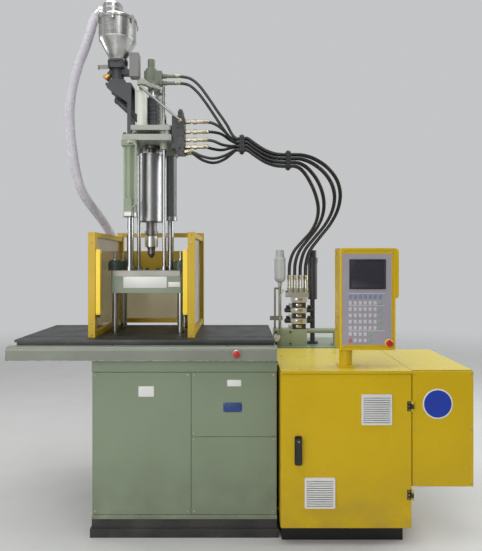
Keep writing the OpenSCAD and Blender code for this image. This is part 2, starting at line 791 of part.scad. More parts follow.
module heater_bands() color([0.62, 0.60, 0.56]) {
    bands = 4;
    band_h = 80;
    band_t = 6;
    z0 = barrel_z + 84;
    step = (seat_z - 40 - z0) / bands;
    for (i = [0 : bands - 1])
        translate([0, 0, z0 + i * step]) {
            difference() {
                union() {
                    cylinder(h = band_h, d = barrel_d + 2 * band_t);
                    translate([-8, -barrel_d / 2 - band_t - 14, 6]) cube([16, 20, band_h - 12]);
                    translate([0, barrel_d / 2 + band_t - 3, band_h / 2])
                        rotate([-90, 0, 0]) cylinder(h = 16, d = 24);
                }
                translate([0, 0, -1]) cylinder(h = band_h + 2, d = barrel_d);
                translate([-1, -barrel_d, -1]) cube([2, barrel_d / 2 + 10, band_h + 2]);
            }
        }
    // Band round the nozzle body
    translate([0, 0, tip_z + 70]) difference() {
        cylinder(h = 66, d = 82);
        translate([0, 0, -1]) cylinder(h = 68, d = 56);
        translate([-1, -60, -1]) cube([2, 50, 68]);
    }
}

module barrel_cover() color([0.80, 0.81, 0.80]) {
    low = seat_z - 54 - cover_l;
    wall = 1.5;
    hole = 7;
    difference() {
        union() {
            bar_z(0, 0, low, low + cover_l, cover_od);
            bar_z(0, 0, low + 4, low + 12, cover_od + 3);
            bar_z(0, 0, low + cover_l - 12, low + cover_l - 4, cover_od + 3);
        }
        bar_z(0, 0, low - 1, low + cover_l - wall, cover_od - 2 * wall);
        bar_z(0, 0, low, low + cover_l + 1, barrel_d + 4);
        // Vent holes at the back, near both ends
        for (z = [low + 40, low + cover_l - 50], a = [30 : 20 : 150])
            translate([0, 0, z]) rotate([0, 0, a]) bar_x(cover_od / 2 - 5, cover_od, 0, 0, hole);
    }
    // Stays that hold the cover under the barrel's flange
    for (a = [45, 165, 285])
        rotate([0, 0, a]) bar_z(0, 45, low + cover_l - wall, seat_z - 22, 10);
}

module nozzle() color([0.60, 0.61, 0.62]) {
    difference() {
        rotate_extrude() polygon([
            [0, tip_z], [7, tip_z], [12, tip_z + 8], [24, tip_z + 24], [24, tip_z + 60],
            [27.8, tip_z + 64], [27.8, barrel_z], [0, barrel_z]
        ]);
        bar_z(0, 0, tip_z - 1, barrel_z + 1, 4);
    }
}

module injection_cylinders() color([0.62, 0.70, 0.60]) {
    wall = 7;
    end_t = 12;
    opposite(-inj_x, -inj_y) {
        difference() {
            union() {
                bar_z(0, 0, bridge_top, inj_top, inj_d);
                bar_z(0, 0, bridge_top, bridge_top + 20, inj_d + 8);
                bar_z(0, 0, inj_top - 24, inj_top, inj_d + 8);
            }
            bar_z(0, 0, bridge_top + end_t, inj_top - end_t, inj_d - 2 * wall);
            bar_z(0, 0, inj_top - end_t - 1, inj_top + 1, inj_rod_d + 2 * fit);
        }
        bar_z(0, -inj_d / 2 - 2, inj_top - 22, inj_top - 4, 16);
    }
}

module drive_plate() color([0.50, 0.52, 0.49]) {
    diagonal = atan2(inj_y, inj_x);
    difference() {
        translate([0, 0, drive_z]) linear_extrude(drive_t) {
            circle(d = motor_d + 24);
            for (s = [-1, 1]) translate([s * inj_x, s * inj_y]) circle(d = inj_d);
            rotate(diagonal) square([2 * norm([inj_x, inj_y]), inj_d], center = true);
        }
        bar_z(0, 0, drive_z - 1, drive_top + 1, screw_d + 0.2);
    }
    opposite(-inj_x, -inj_y) {
        bar_z(0, 0, bridge_top + 20, drive_z + 1, inj_rod_d);
        bar_z(0, 0, bridge_top + 20, bridge_top + 40, inj_d - 14 - 2 * fit);
        hex_z(0, 0, drive_top, drive_top + 14, 32);
    }
}

module hydraulic_motor() color([0.60, 0.70, 0.58]) {
    flange_t = 18;
    body_h = 72;
    top_z = drive_top + flange_t + body_h;
    difference() {
        union() {
            round_plate(0, 0, drive_top, motor_d + 14, motor_d + 14, flange_t, 16);
            bar_z(0, 0, drive_top + flange_t, top_z, motor_d);
            bar_z(0, 0, top_z, top_z + 16, motor_d - 22);
            bar_z(0, 0, top_z, top_z + 77, 46);
            box([20, -26, drive_top + flange_t - 14], [70, 26, top_z + 1]);
        }
        bar_z(0, 0, drive_top - 1, drive_top + 50, screw_d + 0.2);
    }
    corners(motor_d - 6, motor_d - 6)
        hex_z(0, 0, drive_top + flange_t, drive_top + flange_t + 9, 14);
    for (z = [motor_route[0][0][2], motor_route[1][0][2]]) {
        hex_x(70, 98, 0, z, 26);
        bar_x(98, motor_route[0][0][0], 0, z, hose_d + 4);
    }
}

module screw() color([0.72, 0.72, 0.74]) {
    flight_low = barrel_z + 60;
    flight_top = seat_z + 30;
    root_d = screw_d - 11;
    turns = (flight_top - flight_low) / screw_pitch;
    shank_low = seat_z + 28;
    bar_z(0, 0, shank_low, drive_top + 49, screw_d);
    bar_z(0, 0, barrel_z + 42, shank_low + 1, root_d);
    translate([0, 0, barrel_z + 24]) cylinder(h = 20, d1 = 6, d2 = screw_d - 4);
    translate([0, 0, flight_low])
        linear_extrude(flight_top - flight_low, twist = -360 * turns, slices = ceil(turns * 12), $fn = 8)
            polygon([[0, -3], [screw_d / 2 - 1.2, -3], [screw_d / 2 - 0.5, 0],
                     [screw_d / 2 - 1.2, 3], [0, 3]]);
}

module valve_block() color([0.30, 0.31, 0.32]) {
    front = -130;
    back = -30;
    top = bridge_top + 55;
    low = seat_z - 71;
    // Mounting plate on the side of the seat plate
    box([seat_half_w, front, seat_z - 40], [seat_half_w + 25, 40, top]);
    // Ported block with its two cartridge valves
    difference() {
        box([seat_half_w + 25, front, low], [seat_half_w + 75, back, top]);
        for (z = [low + 30, top - 30]) bar_y(seat_half_w + 50, front - 1, front + 12, z, 16);
    }
    for (y = [front + 30, back - 30]) {
        bar_z(seat_half_w + 50, y, top, top + 34, 34);
        hex_z(seat_half_w + 50, y, top + 34, top + 46, 22);
    }
}

module hose_fittings() color([0.76, 0.66, 0.40]) {
    x0 = seat_half_w + 75;
    for (i = [0 : 3]) {
        p = valve_route[i][0];
        hex_x(x0, x0 + 34, p[1], p[2], 24);
        bar_x(x0 + 34, x0 + 50, p[1], p[2], 16);
        hex_x(x0 + 50, x0 + 72, p[1], p[2], 27);
        bar_x(x0 + 72, p[0], p[1], p[2], hose_d + 4);
    }
    for (i = [4 : 5]) {
        p = valve_route[i][0];
        hex_x(x0, x0 + 16, p[1], p[2], 24);
        bar_x(x0 + 16, p[0], p[1], p[2], hose_d + 3);
    }
}

// Clamp block of the hose bundle
module hose_clamp(x, z) {
    h = row_z[0] - row_z[3] + hose_d + 18;
    d = col_y[1] - col_y[0] + hose_d + 18;
    translate([x, clamp_y, z]) rotate([90, 0, 90])
        linear_extrude(clamp_w) round_rect(d, h, 10);
    for (s = [-1, 1])
        hex_z(x + clamp_w / 2, clamp_y, s > 0 ? z + h / 2 : z - h / 2 - 8,
              s > 0 ? z + h / 2 + 8 : z - h / 2, 14);
}

module inner_hose_clamp() color([0.10, 0.10, 0.11]) hose_clamp(inner_x, inner_z);

module outer_hose_clamp() color([0.10, 0.10, 0.11]) hose_clamp(outer_x, outer_z);

module motor_hoses() color([0.09, 0.09, 0.10]) {
    for (route = motor_route) hose(route, hose_d);
}

module valve_hoses() color([0.09, 0.09, 0.10]) {
    for (route = valve_route) hose(route, hose_d);
    for (y = col_y, z = row_z)
        hose([for (p = bundle_route) p + [0, clamp_y + y, inner_z + z]], hose_d);
}

// The two hoses of a row spread from the clamp to their fittings
function spread(i, n) = 12 + 13 * min(1, max(0, (i - 1) / (n - 3)));

module manifold_hoses() color([0.09, 0.09, 0.10]) {
    for (route = arc_route, c = [-1, 1]) {
        n = len(route);
        hose([for (i = [0 : n - 1]) route[i] + [0, c * spread(i, n), 0]], hose_d);
    }
}

module hopper_frame() color([0.25, 0.26, 0.27]) {
    x_out = hopper_x + 62;
    cheek_x = seat_half_w - 20;
    // Shelf with two cheeks that stand on the seat plate
    difference() {
        box([-x_out, -62, shelf_z], [-cheek_x + 12, 62, throat_z]);
        bar_z(-hopper_x, 0, shelf_z - 1, throat_z + 1, 40);
    }
    for (y = [-62, 50])
        translate([0, y, 0]) rotate([90, 0, 0]) translate([0, 0, -12])
            linear_extrude(12) polygon([
                [-cheek_x - 12, seat_top], [-cheek_x + 12, seat_top], [-cheek_x + 12, shelf_z + 1],
                [-x_out + 8, shelf_z + 1], [-x_out + 8, shelf_z - 18], [-cheek_x - 12, shelf_z - 110]
            ]);
    // Throat casting under the hopper's neck, with a slot for the shut-off plate
    difference() {
        union() {
            bar_z(-hopper_x, 0, throat_z, neck_z - 14, neck_d - 20);
            box([-hopper_x - 42, -52, throat_z], [-hopper_x + 52, 52, throat_z + 26]);
            box([-hopper_x - 50, -54, gate_z - 20], [-hopper_x + 50, 54, neck_z - 12]);
            bar_z(-hopper_x, 0, neck_z - 14, neck_z, neck_d + 30);
            box([-hopper_x + 30, -25, throat_z + 66], [-hopper_x + 81, 25, throat_z + 98]);
            box([-hopper_x + 80, -34, throat_z + 50], [-hopper_x + 138, 34, throat_z + 200]);
            spout_axis() translate([0, 0, -24]) cylinder(h = 24 + spout_out, d = 40);
        }
        bar_z(-hopper_x, 0, throat_z + 20, neck_z + 1, 60);
        bar_z(-hopper_x, 0, throat_z - 1, throat_z + 21, 32);
        box([-hopper_x - 60, -36 - fit, gate_z - 0.2], [-hopper_x + 44, 36 + fit, gate_z + 6.2]);
        spout_axis() translate([0, 0, -34]) cylinder(h = 54 + spout_out, d = 24);
    }
    // Drop tube and slanted chute down to the feed block
    difference() {
        union() {
            bar_z(-hopper_x, 0, chute_from[1] - 10, throat_z, 38);
            translate([chute_from[0], 0, chute_from[1]]) sphere(d = 46);
            chute_axis() cylinder(h = chute_l, d = 40);
        }
        bar_z(-hopper_x, 0, chute_from[1], throat_z + 1, 32);
        chute_axis() cylinder(h = chute_l + 10, d = 30);
    }
}

// Axes of the slanted chute and of the drain spout
module chute_axis() {
    translate([chute_from[0], 0, chute_from[1]]) rotate([0, 90 + chute_slope, 0]) children();
}
module spout_axis() {
    translate([-hopper_x - 30, 0, throat_z + 94]) rotate([0, -140, 0]) children();
}

module drain_spout() color([0.72, 0.50, 0.22]) {
    spout_axis() rotate_extrude() polygon([
        [12, spout_out + 0.3], [18, spout_out + 0.3], [18, 40], [24, 58], [24, 64], [28, 64],
        [28, 70], [20.5, 70], [20.5, 58], [12, 40]
    ]);
}

module hopper_gate() color([0.75, 0.76, 0.77]) {
    box([-hopper_x - 120, -36, gate_z], [-hopper_x - 32, 36, gate_z + 6]);
    box([-hopper_x - 128, -20, gate_z - 12], [-hopper_x - 120, 20, gate_z + 18]);
}

module hopper() color([0.82, 0.83, 0.82]) {
    r = hopper_d / 2;
    n = neck_d / 2;
    w = hopper_wall;
    translate([-hopper_x, 0, 0]) rotate_extrude() polygon([
        [n, neck_z], [n + 15, neck_z], [n + 15, neck_z + 6], [n, neck_z + 6],
        [r, cone_top], [r, hopper_top - 8], [r + 6, hopper_top - 8], [r + 6, hopper_top],
        [r - w, hopper_top], [r - w, cone_top], [n - w, neck_z + 6], [n - w, neck_z]
    ]);
    // Sight window frame at the left front of the straight side
    translate([-hopper_x, 0, cone_top + 14]) rotate([0, 0, -58]) difference() {
        translate([-18, -r - 3, 0]) cube([36, 12, 98]);
        translate([-11, -r - 4, 7]) cube([22, 2.5, 84]);
        translate([0, 0, -1]) cylinder(h = 100, r = r - w / 2);
    }
}

module loader_head() color([0.80, 0.81, 0.82]) {
    r = hopper_d / 2;
    top = hopper_top + head_h;
    inlet = loader_route[0];
    elbow = [inlet[0] + 24, inlet[1], inlet[2] + 24];
    difference() {
        union() {
            translate([-hopper_x, 0, 0]) rotate_extrude() polygon([
                [0, hopper_top], [r + 6, hopper_top], [r + 6, hopper_top + 6],
                [r - 4, hopper_top + 8], [r - 8, hopper_top + 16], [r - 20, hopper_top + 26],
                [0, hopper_top + 26]
            ]);
            // Round head with a clamp ring, left of the hopper's axis
            translate([-hopper_x - 32, 0, 0]) rotate_extrude() polygon([
                [0, hopper_top + 20], [64, hopper_top + 20], [64, hopper_top + 38],
                [69, hopper_top + 40], [69, hopper_top + 47], [64, hopper_top + 49],
                [64, top - 18], [58, top - 7], [44, top], [0, top]
            ]);
            bar_x(elbow[0], -hopper_x - 32, elbow[1], elbow[2], loader_d + 6);
            translate(elbow) rotate([0, 90, 0]) sphere(d = loader_d + 8);
            translate(inlet) rotate([0, 45, 0]) cylinder(h = norm(elbow - inlet), d = loader_d + 6);
        }
        translate([-hopper_x, 0, 0]) rotate_extrude() polygon([
            [0, hopper_top - 1], [r - 6, hopper_top - 1], [r - 12, hopper_top + 12],
            [r - 24, hopper_top + 21], [0, hopper_top + 21]
        ]);
    }
    // Toggle clips on the rim
    for (a = [60, 180, 300])
        translate([-hopper_x, 0, 0]) rotate([0, 0, a + 30]) {
            box([r + 6.2, -10, hopper_top - 34], [r + 12, 10, hopper_top + 12]);
            box([r - 8, -9, hopper_top + 2], [r + 7, 9, hopper_top + 12]);
        }
}

module loader_hose() color([0.70, 0.69, 0.71]) {
    hose(loader_route, loader_d, 12);
}

module suction_lance() color([0.78, 0.79, 0.80]) {
    p = loader_route[len(loader_route) - 1];
    low = table_top + 54;
    post_face = post_back + post_w / 2;
    difference() {
        union() {
            bar_z(p[0], p[1], low, p[2], 40);
            bar_z(p[0], p[1], p[2] - 60, p[2], loader_d + 6);
            // Two clips on the back of the rear guard post
            for (z = [low + 70, p[2] - 120]) {
                bar_z(p[0], p[1], z, z + 24, 52);
                box([p[0] + 5, post_face, z], [-post_x, p[1], z + 24]);
            }
        }
        bar_z(p[0], p[1], low - 1, p[2] - 40, 34);
        for (a = [0 : 45 : 315])
            translate([p[0], p[1], 0]) rotate([0, 0, a]) bar_x(10, 30, 0, low + 25, 8);
    }
}

module guard_frame() color([0.85, 0.72, 0.12]) {
    top = table_top + post_h;
    w = post_w / 2;
    rail = 30;
    for (s = [-1, 1]) {
        x = s * post_x;
        box([x - w, -post_front - w, table_top], [x + w, -post_front + w, top]);
        box([x - w, post_back - w, deck_cover], [x + w, post_back + w, top + rail]);
        box([x - rail / 2, -post_front, table_top], [x + rail / 2, post_back, table_top + rail]);
        box([x - rail / 2, -post_front, top - rail], [x + rail / 2, post_back, top]);
    }
    box([-post_x, post_back - rail / 2, top], [post_x, post_back + rail / 2, top + rail]);
    box([-post_x, post_back - rail / 2, table_top], [post_x, post_back + rail / 2, table_top + rail]);
    // Middle sheet of the rear guard
    box([-post_x, post_back - 4, platen_z + 128], [post_x, post_back + 4, platen_z + 262]);
}

module guard_panels() color([0.55, 0.50, 0.35, 0.5]) {
    top = table_top + post_h;
    w = post_w / 2;
    rail = 30;
    for (s = [-1, 1])
        box([s * post_x - guard_t / 2, -post_front + w, table_top + rail],
            [s * post_x + guard_t / 2, post_back - w, top - rail]);
    box([-post_x + w, post_back - guard_t / 2, table_top + rail],
        [post_x - w, post_back + guard_t / 2, platen_z + 128]);
}

module light_curtains() color([0.92, 0.82, 0.15]) {
    z0 = table_top + curtain_z;
    d = 32;
    w = post_w / 2;
    for (s = [-1, 1]) {
        inner = s * (post_x - w);
        translate([inner - s * curtain_w / 2, -post_front, z0]) {
            difference() {
                linear_extrude(curtain_l) round_rect(curtain_w, d, 4);
                translate([-s * curtain_w / 2 - 2, -7, 14]) cube([4, 14, curtain_l - 28]);
            }
            translate([0, 0, -9]) linear_extrude(9) round_rect(curtain_w - 3, d - 4, 4);
            translate([0, 0, curtain_l]) linear_extrude(9) round_rect(curtain_w - 3, d - 4, 4);
        }
    }
}

module electrical_cabinet() color([0.74, 0.62, 0.10]) {
    front = -cab_front + door_d;
    lip = 22;
    over = 6;
    // Body folded from sheet, open at the front inside a sealing lip
    difference() {
        box([cab_left, front, cab_z], [cab_right, cab_back, cab_top - 16]);
        box([cab_left + cab_t, front + 1.5, cab_z + cab_t],
            [cab_right - cab_t, cab_back - cab_t, cab_top - 16 - cab_t]);
        box([cab_left + lip, front - 1, cab_z + lip], [cab_right - lip, front + 2, cab_top - 16 - lip]);
    }
    // Roof with a shallow overhang over the door
    difference() {
        box([cab_left, -cab_front - over, cab_top - 16], [cab_right, cab_back, cab_top]);
        box([cab_left + cab_t, -cab_front - over + cab_t, cab_top - 17],
            [cab_right - cab_t, cab_back - cab_t, cab_top - cab_t]);
    }
    // Hinge leaves welded to the right side, with their knuckles and pins
    for (z = hinge_z) {
        difference() {
            union() {
                box([cab_right, hinge_y, z - hinge_h / 2], [side_left, -400, z + hinge_h / 2]);
                bar_z(hinge_x, hinge_y, z - hinge_h / 2, z + hinge_h / 2, 13);
            }
            box([cab_right - 8, hinge_y - 8, z - 13.2], [side_left + 8, -cab_front + 25, z + 13.2]);
        }
        bar_z(hinge_x, hinge_y, z - hinge_h / 2, z + hinge_h / 2, 7);
    }
    // Spacers bolted to the base frame
    for (y = [-300, 100], z = [plinth_h + 12, cab_top - 8]) bar_x(base_right, cab_left, y, z, 16);
    // Set-back plinth
    box([cab_left + 10, front + 45, 0], [cab_right - 30, cab_back - 20, cab_z]);
    // Foot and swivel pin of the operator panel
    difference() {
        union() {
            box([pivot_x - foot_w / 2, pivot_y - 45, cab_top], [pivot_x + foot_w / 2, pivot_y + 45, cab_top + 12]);
            bar_z(pivot_x, pivot_y, cab_top, panel_z - 0.3, foot_w - 13);
            bar_z(pivot_x, pivot_y, panel_z - 7, panel_z + 30, 40);
        }
        bar_z(pivot_x, pivot_y, cab_top + 12, panel_z + 31, 24);
    }
}

module cabinet_devices() color([0.55, 0.56, 0.57]) {
    y = cab_back - cab_t - 12;
    x0 = cab_left + 60;
    w = cab_w - 120;
    z0 = cab_z + 60;
    top = cab_top - 90;
    // Mounting plate on its stand-offs
    box([x0, y - 3, z0], [x0 + w, y, top]);
    for (x = [x0 + 20, x0 + w - 20], z = [z0 + 20, top - 20]) bar_y(x, y, cab_back - cab_t, z, 16);
    // Trunking, rails and devices
    for (z = [z0 + 10, z0 + 260, z0 + 480, top - 50]) box([x0 + 10, y - 63, z], [x0 + w - 10, y - 3, z + 40]);
    for (z = [z0 + 150, z0 + 370])
        box([x0 + 20, y - 10, z], [x0 + w - 20, y - 3, z + 35]);
    for (i = [0 : 7]) box([x0 + 30 + i * 62, y - 90, z0 + 120], [x0 + 80 + i * 62, y - 10, z0 + 210]);
    for (i = [0 : 11]) box([x0 + 26 + i * 44, y - 75, z0 + 340], [x0 + 62 + i * 44, y - 10, z0 + 425]);
    box([x0 + 40, y - 170, z0 + 530], [x0 + 240, y - 3, top - 60]);
    box([x0 + 280, y - 120, z0 + 530], [x0 + 420, y - 3, top - 60]);
    box([x0 + 450, y - 90, z0 + 530], [x0 + 560, y - 3, top - 60]);
}

module side_box() color([0.74, 0.62, 0.10]) {
    front = -cab_front + door_d;
    right = side_left + side_w;
    difference() {
        box([side_left, front, side_z], [right, cab_back - 40, cab_top]);
        box([side_left + cab_t, front - 1, side_z + cab_t],
            [right - cab_t, cab_back - 40 - cab_t, cab_top - cab_t]);
    }
    // Front cover with its folded edge
    difference() {
        box([side_left + 1, -cab_front + 4, side_z + 1], [right - 1, front, cab_top - 4]);
        box([side_left + 1 + cab_t, -cab_front + 4 + cab_t, side_z + 1 + cab_t],
            [right - 1 - cab_t, front + 1, cab_top - 4 - cab_t]);
    }
    // Spacers that bolt the box to the cabinet
    for (y = [front + 60, cab_back - 120], z = [side_z + 60, cab_top - 80])
        bar_x(cab_right, side_left, y, z, 30);
}

module cabinet_door() color([0.75, 0.63, 0.11]) {
    left = cab_left + 3;
    right = cab_right - 3;
    low = cab_z + 3;
    top = cab_top - 16 - 3;
    fx = [cab_mid + 162, cab_left + 210];
    fz = [736, 288];
    hole = filter_w - 26;
    fold = 14;
    difference() {
        box([left, -cab_front, low], [right, -cab_front + door_d - 0.5, top]);
        box([left + cab_t, -cab_front + cab_t, low + cab_t],
            [right - cab_t, -cab_front + door_d - 0.5 - cab_t, top - cab_t]);
        box([left + fold, -cab_front + cab_t, low + fold],
            [right - fold, -cab_front + door_d, top - fold]);
        for (i = [0, 1])
            box([fx[i] - hole / 2, -cab_front - 1, fz[i] - hole / 2],
                [fx[i] + hole / 2, -cab_front + door_d + 1, fz[i] + hole / 2]);
        bar_y(spindle_x, -cab_front - 1, -cab_front + cab_t + 1, spindle_z, 20);
    }
}

module filter_grilles() color([0.82, 0.82, 0.84]) {
    fx = [cab_mid + 162, cab_left + 210];
    fz = [736, 288];
    hole = filter_w - 26;
    frame_t = 9;
    slats = 12;
    pitch = (filter_w - 20) / slats;
    for (i = [0, 1]) translate([fx[i], -cab_front, fz[i]]) {
        difference() {
            union() {
                translate([0, 0, 0]) rotate([90, 0, 0]) linear_extrude(frame_t)
                    round_rect(filter_w, filter_w, 6);
                rotate([-90, 0, 0]) linear_extrude(60)
                    square([hole - 1, hole - 1], center = true);
            }
            translate([-filter_w / 2 + 10, -frame_t + 2, -filter_w / 2 + 10])
                for (k = [0 : slats - 1])
                    translate([0, -3, k * pitch + 2]) rotate([-18, 0, 0])
                        cube([filter_w - 20, 16, pitch - 4.5]);
            rotate([-90, 0, 0]) translate([0, 0, 3]) cylinder(h = 60, d = hole - 10);
        }
        // Motor carrier of the fan with three arms
        if (i == 0) {
            difference() {
                rotate([-90, 0, 0]) translate([0, 0, 44]) cylinder(h = 14, d = 44);
                rotate([-90, 0, 0]) translate([0, 0, 40]) cylinder(h = 12, d = 12 + 2 * fit);
            }
            for (a = [90, 210, 330])
                rotate([0, -a, 0]) translate([20, 50, -4]) cube([hole / 2 - 23, 8, 8]);
        }
    }
}

module fan_rotor() color([0.12, 0.12, 0.13]) {
    fx = cab_mid + 162;
    fz = 736;
    blade_l = (filter_w - 26) / 2 - 12;
    translate([fx, -cab_front, fz]) rotate([-90, 0, 0]) {
        translate([0, 0, 14]) cylinder(h = 26, d = 46);
        translate([0, 0, 40]) cylinder(h = 11, d = 12);
        for (a = [0 : 360 / 7 : 359])
            rotate([0, 0, a]) translate([0, 0, 27]) rotate([35, 0, 0])
                translate([20, -12, -1]) cube([blade_l - 20, 24, 2]);
    }
}

module door_fittings() color([0.10, 0.10, 0.11]) {
    front = -cab_front;
    // Plate of the swing handle, with the bearing of its spindle
    difference() {
        translate([spindle_x, front, spindle_z - 56]) rotate([90, 0, 0])
            linear_extrude(6) round_rect(40, 158, 10);
        bar_y(spindle_x, front - 7, front + 1, spindle_z, 16 + 2 * fit);
    }
    // Hinge leaves on the door
    for (z = hinge_z)
        difference() {
            union() {
                bar_z(hinge_x, hinge_y, z - 13, z + 13, 13);
                box([cab_right - 26, front - 3, z - 13], [hinge_x, front, z + 13]);
                box([cab_right - 26, front - 3, z - hinge_h / 2], [cab_right - 7, front, z + hinge_h / 2]);
            }
            bar_z(hinge_x, hinge_y, z - 14, z + 14, 7 + 2 * fit);
        }
}

module door_handle() color([0.10, 0.10, 0.11]) {
    front = -cab_front;
    // Spindle through the plate, and the lever hanging from it
    bar_y(spindle_x, front - 8, front + 12, spindle_z, 16);
    difference() {
        union() {
            bar_y(spindle_x, front - 30, front - 7, spindle_z, 32);
            translate([spindle_x, front - 12, spindle_z - 64]) rotate([90, 0, 0])
                linear_extrude(16) round_rect(26, 126, 12);
        }
        bar_y(spindle_x, front - 31, front - 26, spindle_z, 14);
    }
}

module panel_box() color([0.85, 0.70, 0.10]) {
    right = panel_left + panel_w;
    back = -panel_front + panel_d;
    rim = 12;
    difference() {
        translate([0, 0, panel_z]) linear_extrude(panel_h)
            translate([(panel_left + right) / 2, (-panel_front + back) / 2])
                round_rect(panel_w, panel_d, 8);
        box([panel_left + 3, -panel_front + 3, panel_z + 3], [right - 3, back - 3, panel_z + panel_h - 3]);
        box([panel_left + rim, -panel_front - 1, panel_z + rim],
            [right - rim, -panel_front + 4, panel_z + panel_h - rim]);
        bar_z(pivot_x, pivot_y, panel_z - 1, panel_z + 4, 40 + 2 * fit);
    }
    // Hub on the swivel pin
    difference() {
        bar_z(pivot_x, pivot_y, panel_z + 2, panel_z + 44, 60);
        bar_z(pivot_x, pivot_y, panel_z, panel_z + 34, 40 + 2 * fit);
    }
}

module keypad_plate() color([0.58, 0.57, 0.60]) {
    rim = 12;
    x0 = panel_left + rim + 0.5;
    x1 = panel_left + panel_w - rim - 0.5;
    z0 = panel_z + rim + 0.5;
    z1 = panel_z + panel_h - rim - 0.5;
    key = 18;
    screen_z = z1 - 203;
    difference() {
        box([x0, -panel_front + 0.5, z0], [x1, -panel_front + 3, z1]);
        // Shallow window of the display
        box([x0 + 48, -panel_front, screen_z], [x1 - 52, -panel_front + 1.5, screen_z + 146]);
        bar_y(x1 - 26, -panel_front - 1, -panel_front + 4, z0 + 26, 22 + 2 * fit);
    }
    // Rows of keys, raised a little
    for (r = [0 : 7], c = [0 : 6])
        if (r > 1 || c < 5)
            translate([x0 + 44 + c * 27, -panel_front + 0.5, z0 + 40 + r * 34])
                rotate([90, 0, 0]) linear_extrude(1) round_rect(key, key + 4, 3);
}

// Mushroom head of a stop button with its shaft, face towards -Y
module stop_button(x, y, z) {
    translate([x, y, z]) rotate([90, 0, 0]) {
        translate([0, 0, -22]) cylinder(h = 24, d = 22);
        translate([0, 0, 8]) rotate_extrude() polygon([
            [0, -7], [9, -7], [9, 0], [17, 0], [19, 3], [19, 8], [16, 12], [8, 14], [0, 14]
        ]);
    }
}

module panel_stop_button() color([0.75, 0.10, 0.08]) {
    stop_button(panel_left + panel_w - 38.5, -panel_front, panel_z + 38.5);
}

module table_stop_button() color([0.75, 0.10, 0.08]) {
    stop_button(stop_x, -base_front - apron_d, stop_z);
}

module oil_tank() color([0.47, 0.52, 0.43]) {
    wall = 4;
    lid_t = 12;
    right = tank_x + tank_w;
    back = tank_y + tank_dp;
    foot = 60;
    difference() {
        box([tank_x, tank_y, foot], [right, back, tank_top - lid_t]);
        box([tank_x + wall, tank_y + wall, foot + wall], [right - wall, back - wall, tank_top]);
    }
    for (x = [tank_x, right - 60])
        box([x, tank_y + 10, 0], [x + 60, back - 10, foot]);
    difference() {
        box([tank_x - 6, tank_y - 6, tank_top - lid_t], [right + 6, back + 6, tank_top]);
        bar_z(tank_x + tank_w - 90, tank_y + 110, tank_top - lid_t - 1, tank_top + 1, 50);
    }
    // Filler and breather
    bar_z(tank_x + tank_w - 90, tank_y + 110, tank_top - 60, tank_top + 8, 49.4);
    bar_z(tank_x + tank_w - 90, tank_y + 110, tank_top + 8, tank_top + 60, 70);
    // Level gauge at the back
    box([right - 120, back, 560], [right - 90, back + 14, 760]);
}

module return_filter() color([0.30, 0.32, 0.33]) {
    x = manifold_x + 110;
    y = manifold_y + 75;
    bar_z(x, y, tank_top, tank_top + 315, 34);
    bar_z(x, y, tank_top + 315, tank_top + 575, 66);
    bar_z(x, y, tank_top + 575, tank_top + 612, 74);
    bar_z(x, y, tank_top + 612, tank_top + 665, 56);
    bar_z(x, y, tank_top, tank_top + 14, 80);
}

module pump_motor() color([0.33, 0.42, 0.37]) {
    y = 230;
    z = 280;
    x0 = 420;
    x1 = 690;
    r = pump_motor_d / 2;
    bar_x(x0, x1, y, z, pump_motor_d);
    bar_x(x1, x1 + 12, y, z, pump_motor_d - 30);
    for (side = [90, 270], a = [-48 : 12 : 48])
        translate([x0 + 20, y, z]) rotate([side + a, 0, 0])
            translate([0, -2, r - 3]) cube([x1 - x0 - 70, 4, 13]);
    box([x0 + 70, y - 55, z + r - 4], [x0 + 170, y + 55, z + r + 46]);
    for (x = [x0 + 40, x1 - 90])
        box([x, y - 80, plinth_wall], [x + 40, y + 80, z - r + 20]);
    // Bell housing and gear pump
    bar_x(x0 - 60, x0, y, z, 130);
    bar_x(x0 - 75, x0 - 60, y, z, 100);
    box([x0 - 175, y - 45, z - 50], [x0 - 75, y + 45, z + 50]);
    bar_y(x0 - 125, y - 65, y + 65, z, 36);
}

module valve_stack() color([0.68, 0.69, 0.70]) {
    x = manifold_x;
    y = manifold_y;
    // Manifold blocks on the tank
    box([x - 176, y - 50, tank_top], [x - 45, y + 50, tank_top + 115]);
    box([x - 45, y - 50, tank_top], [x + 55, y + 50, tank_top + 115]);
    // Sandwich valves, wide silver bodies between narrow dark ones
    for (i = [0 : 5]) {
        wide = i % 2;
        z = tank_top + 115 + i * 37;
        inset = wide ? 0 : 7;
        box([x - 50 + inset, y - 45 + inset, z], [x + 55 - inset, y + 45 - inset, z + 37]);
    }
    // Solenoids at both ends of the working valves
    for (z = [tank_top + 152 + 18, tank_top + 226 + 18]) {
        bar_x(x - 92, x - 50, y, z, 34);
        bar_x(x + 55, x + 100, y, z, 34);
        hex_x(x - 98, x - 92, y, z, 20);
        hex_x(x + 100, x + 106, y, z, 20);
    }
    // Top plate with the hose fittings
    box([x - 90, y - 45, tank_top + 337], [x + 68, y + 45, tank_top + 371]);
    for (route = arc_route, c = [-1, 1]) {
        p = route[len(route) - 1];
        hex_z(p[0], p[1] + 25 * c, tank_top + 371, tank_top + 400, 26);
        bar_z(p[0], p[1] + 25 * c, tank_top + 400, p[2], hose_d + 4);
    }
}

module accumulator() color([0.75, 0.76, 0.78]) {
    x = manifold_x - 130;
    y = manifold_y - 10;
    z0 = tank_top + 441;
    translate([x, y, z0]) rotate_extrude() polygon([
        [0, 0], [22, 0], [34, 10], [39, 26], [39, 160], [34, 176], [0, 176]
    ]);
    bar_z(x, y, z0 + 176, z0 + 224, 60);
    bar_z(x, y, z0 - 24, z0, 30);
}

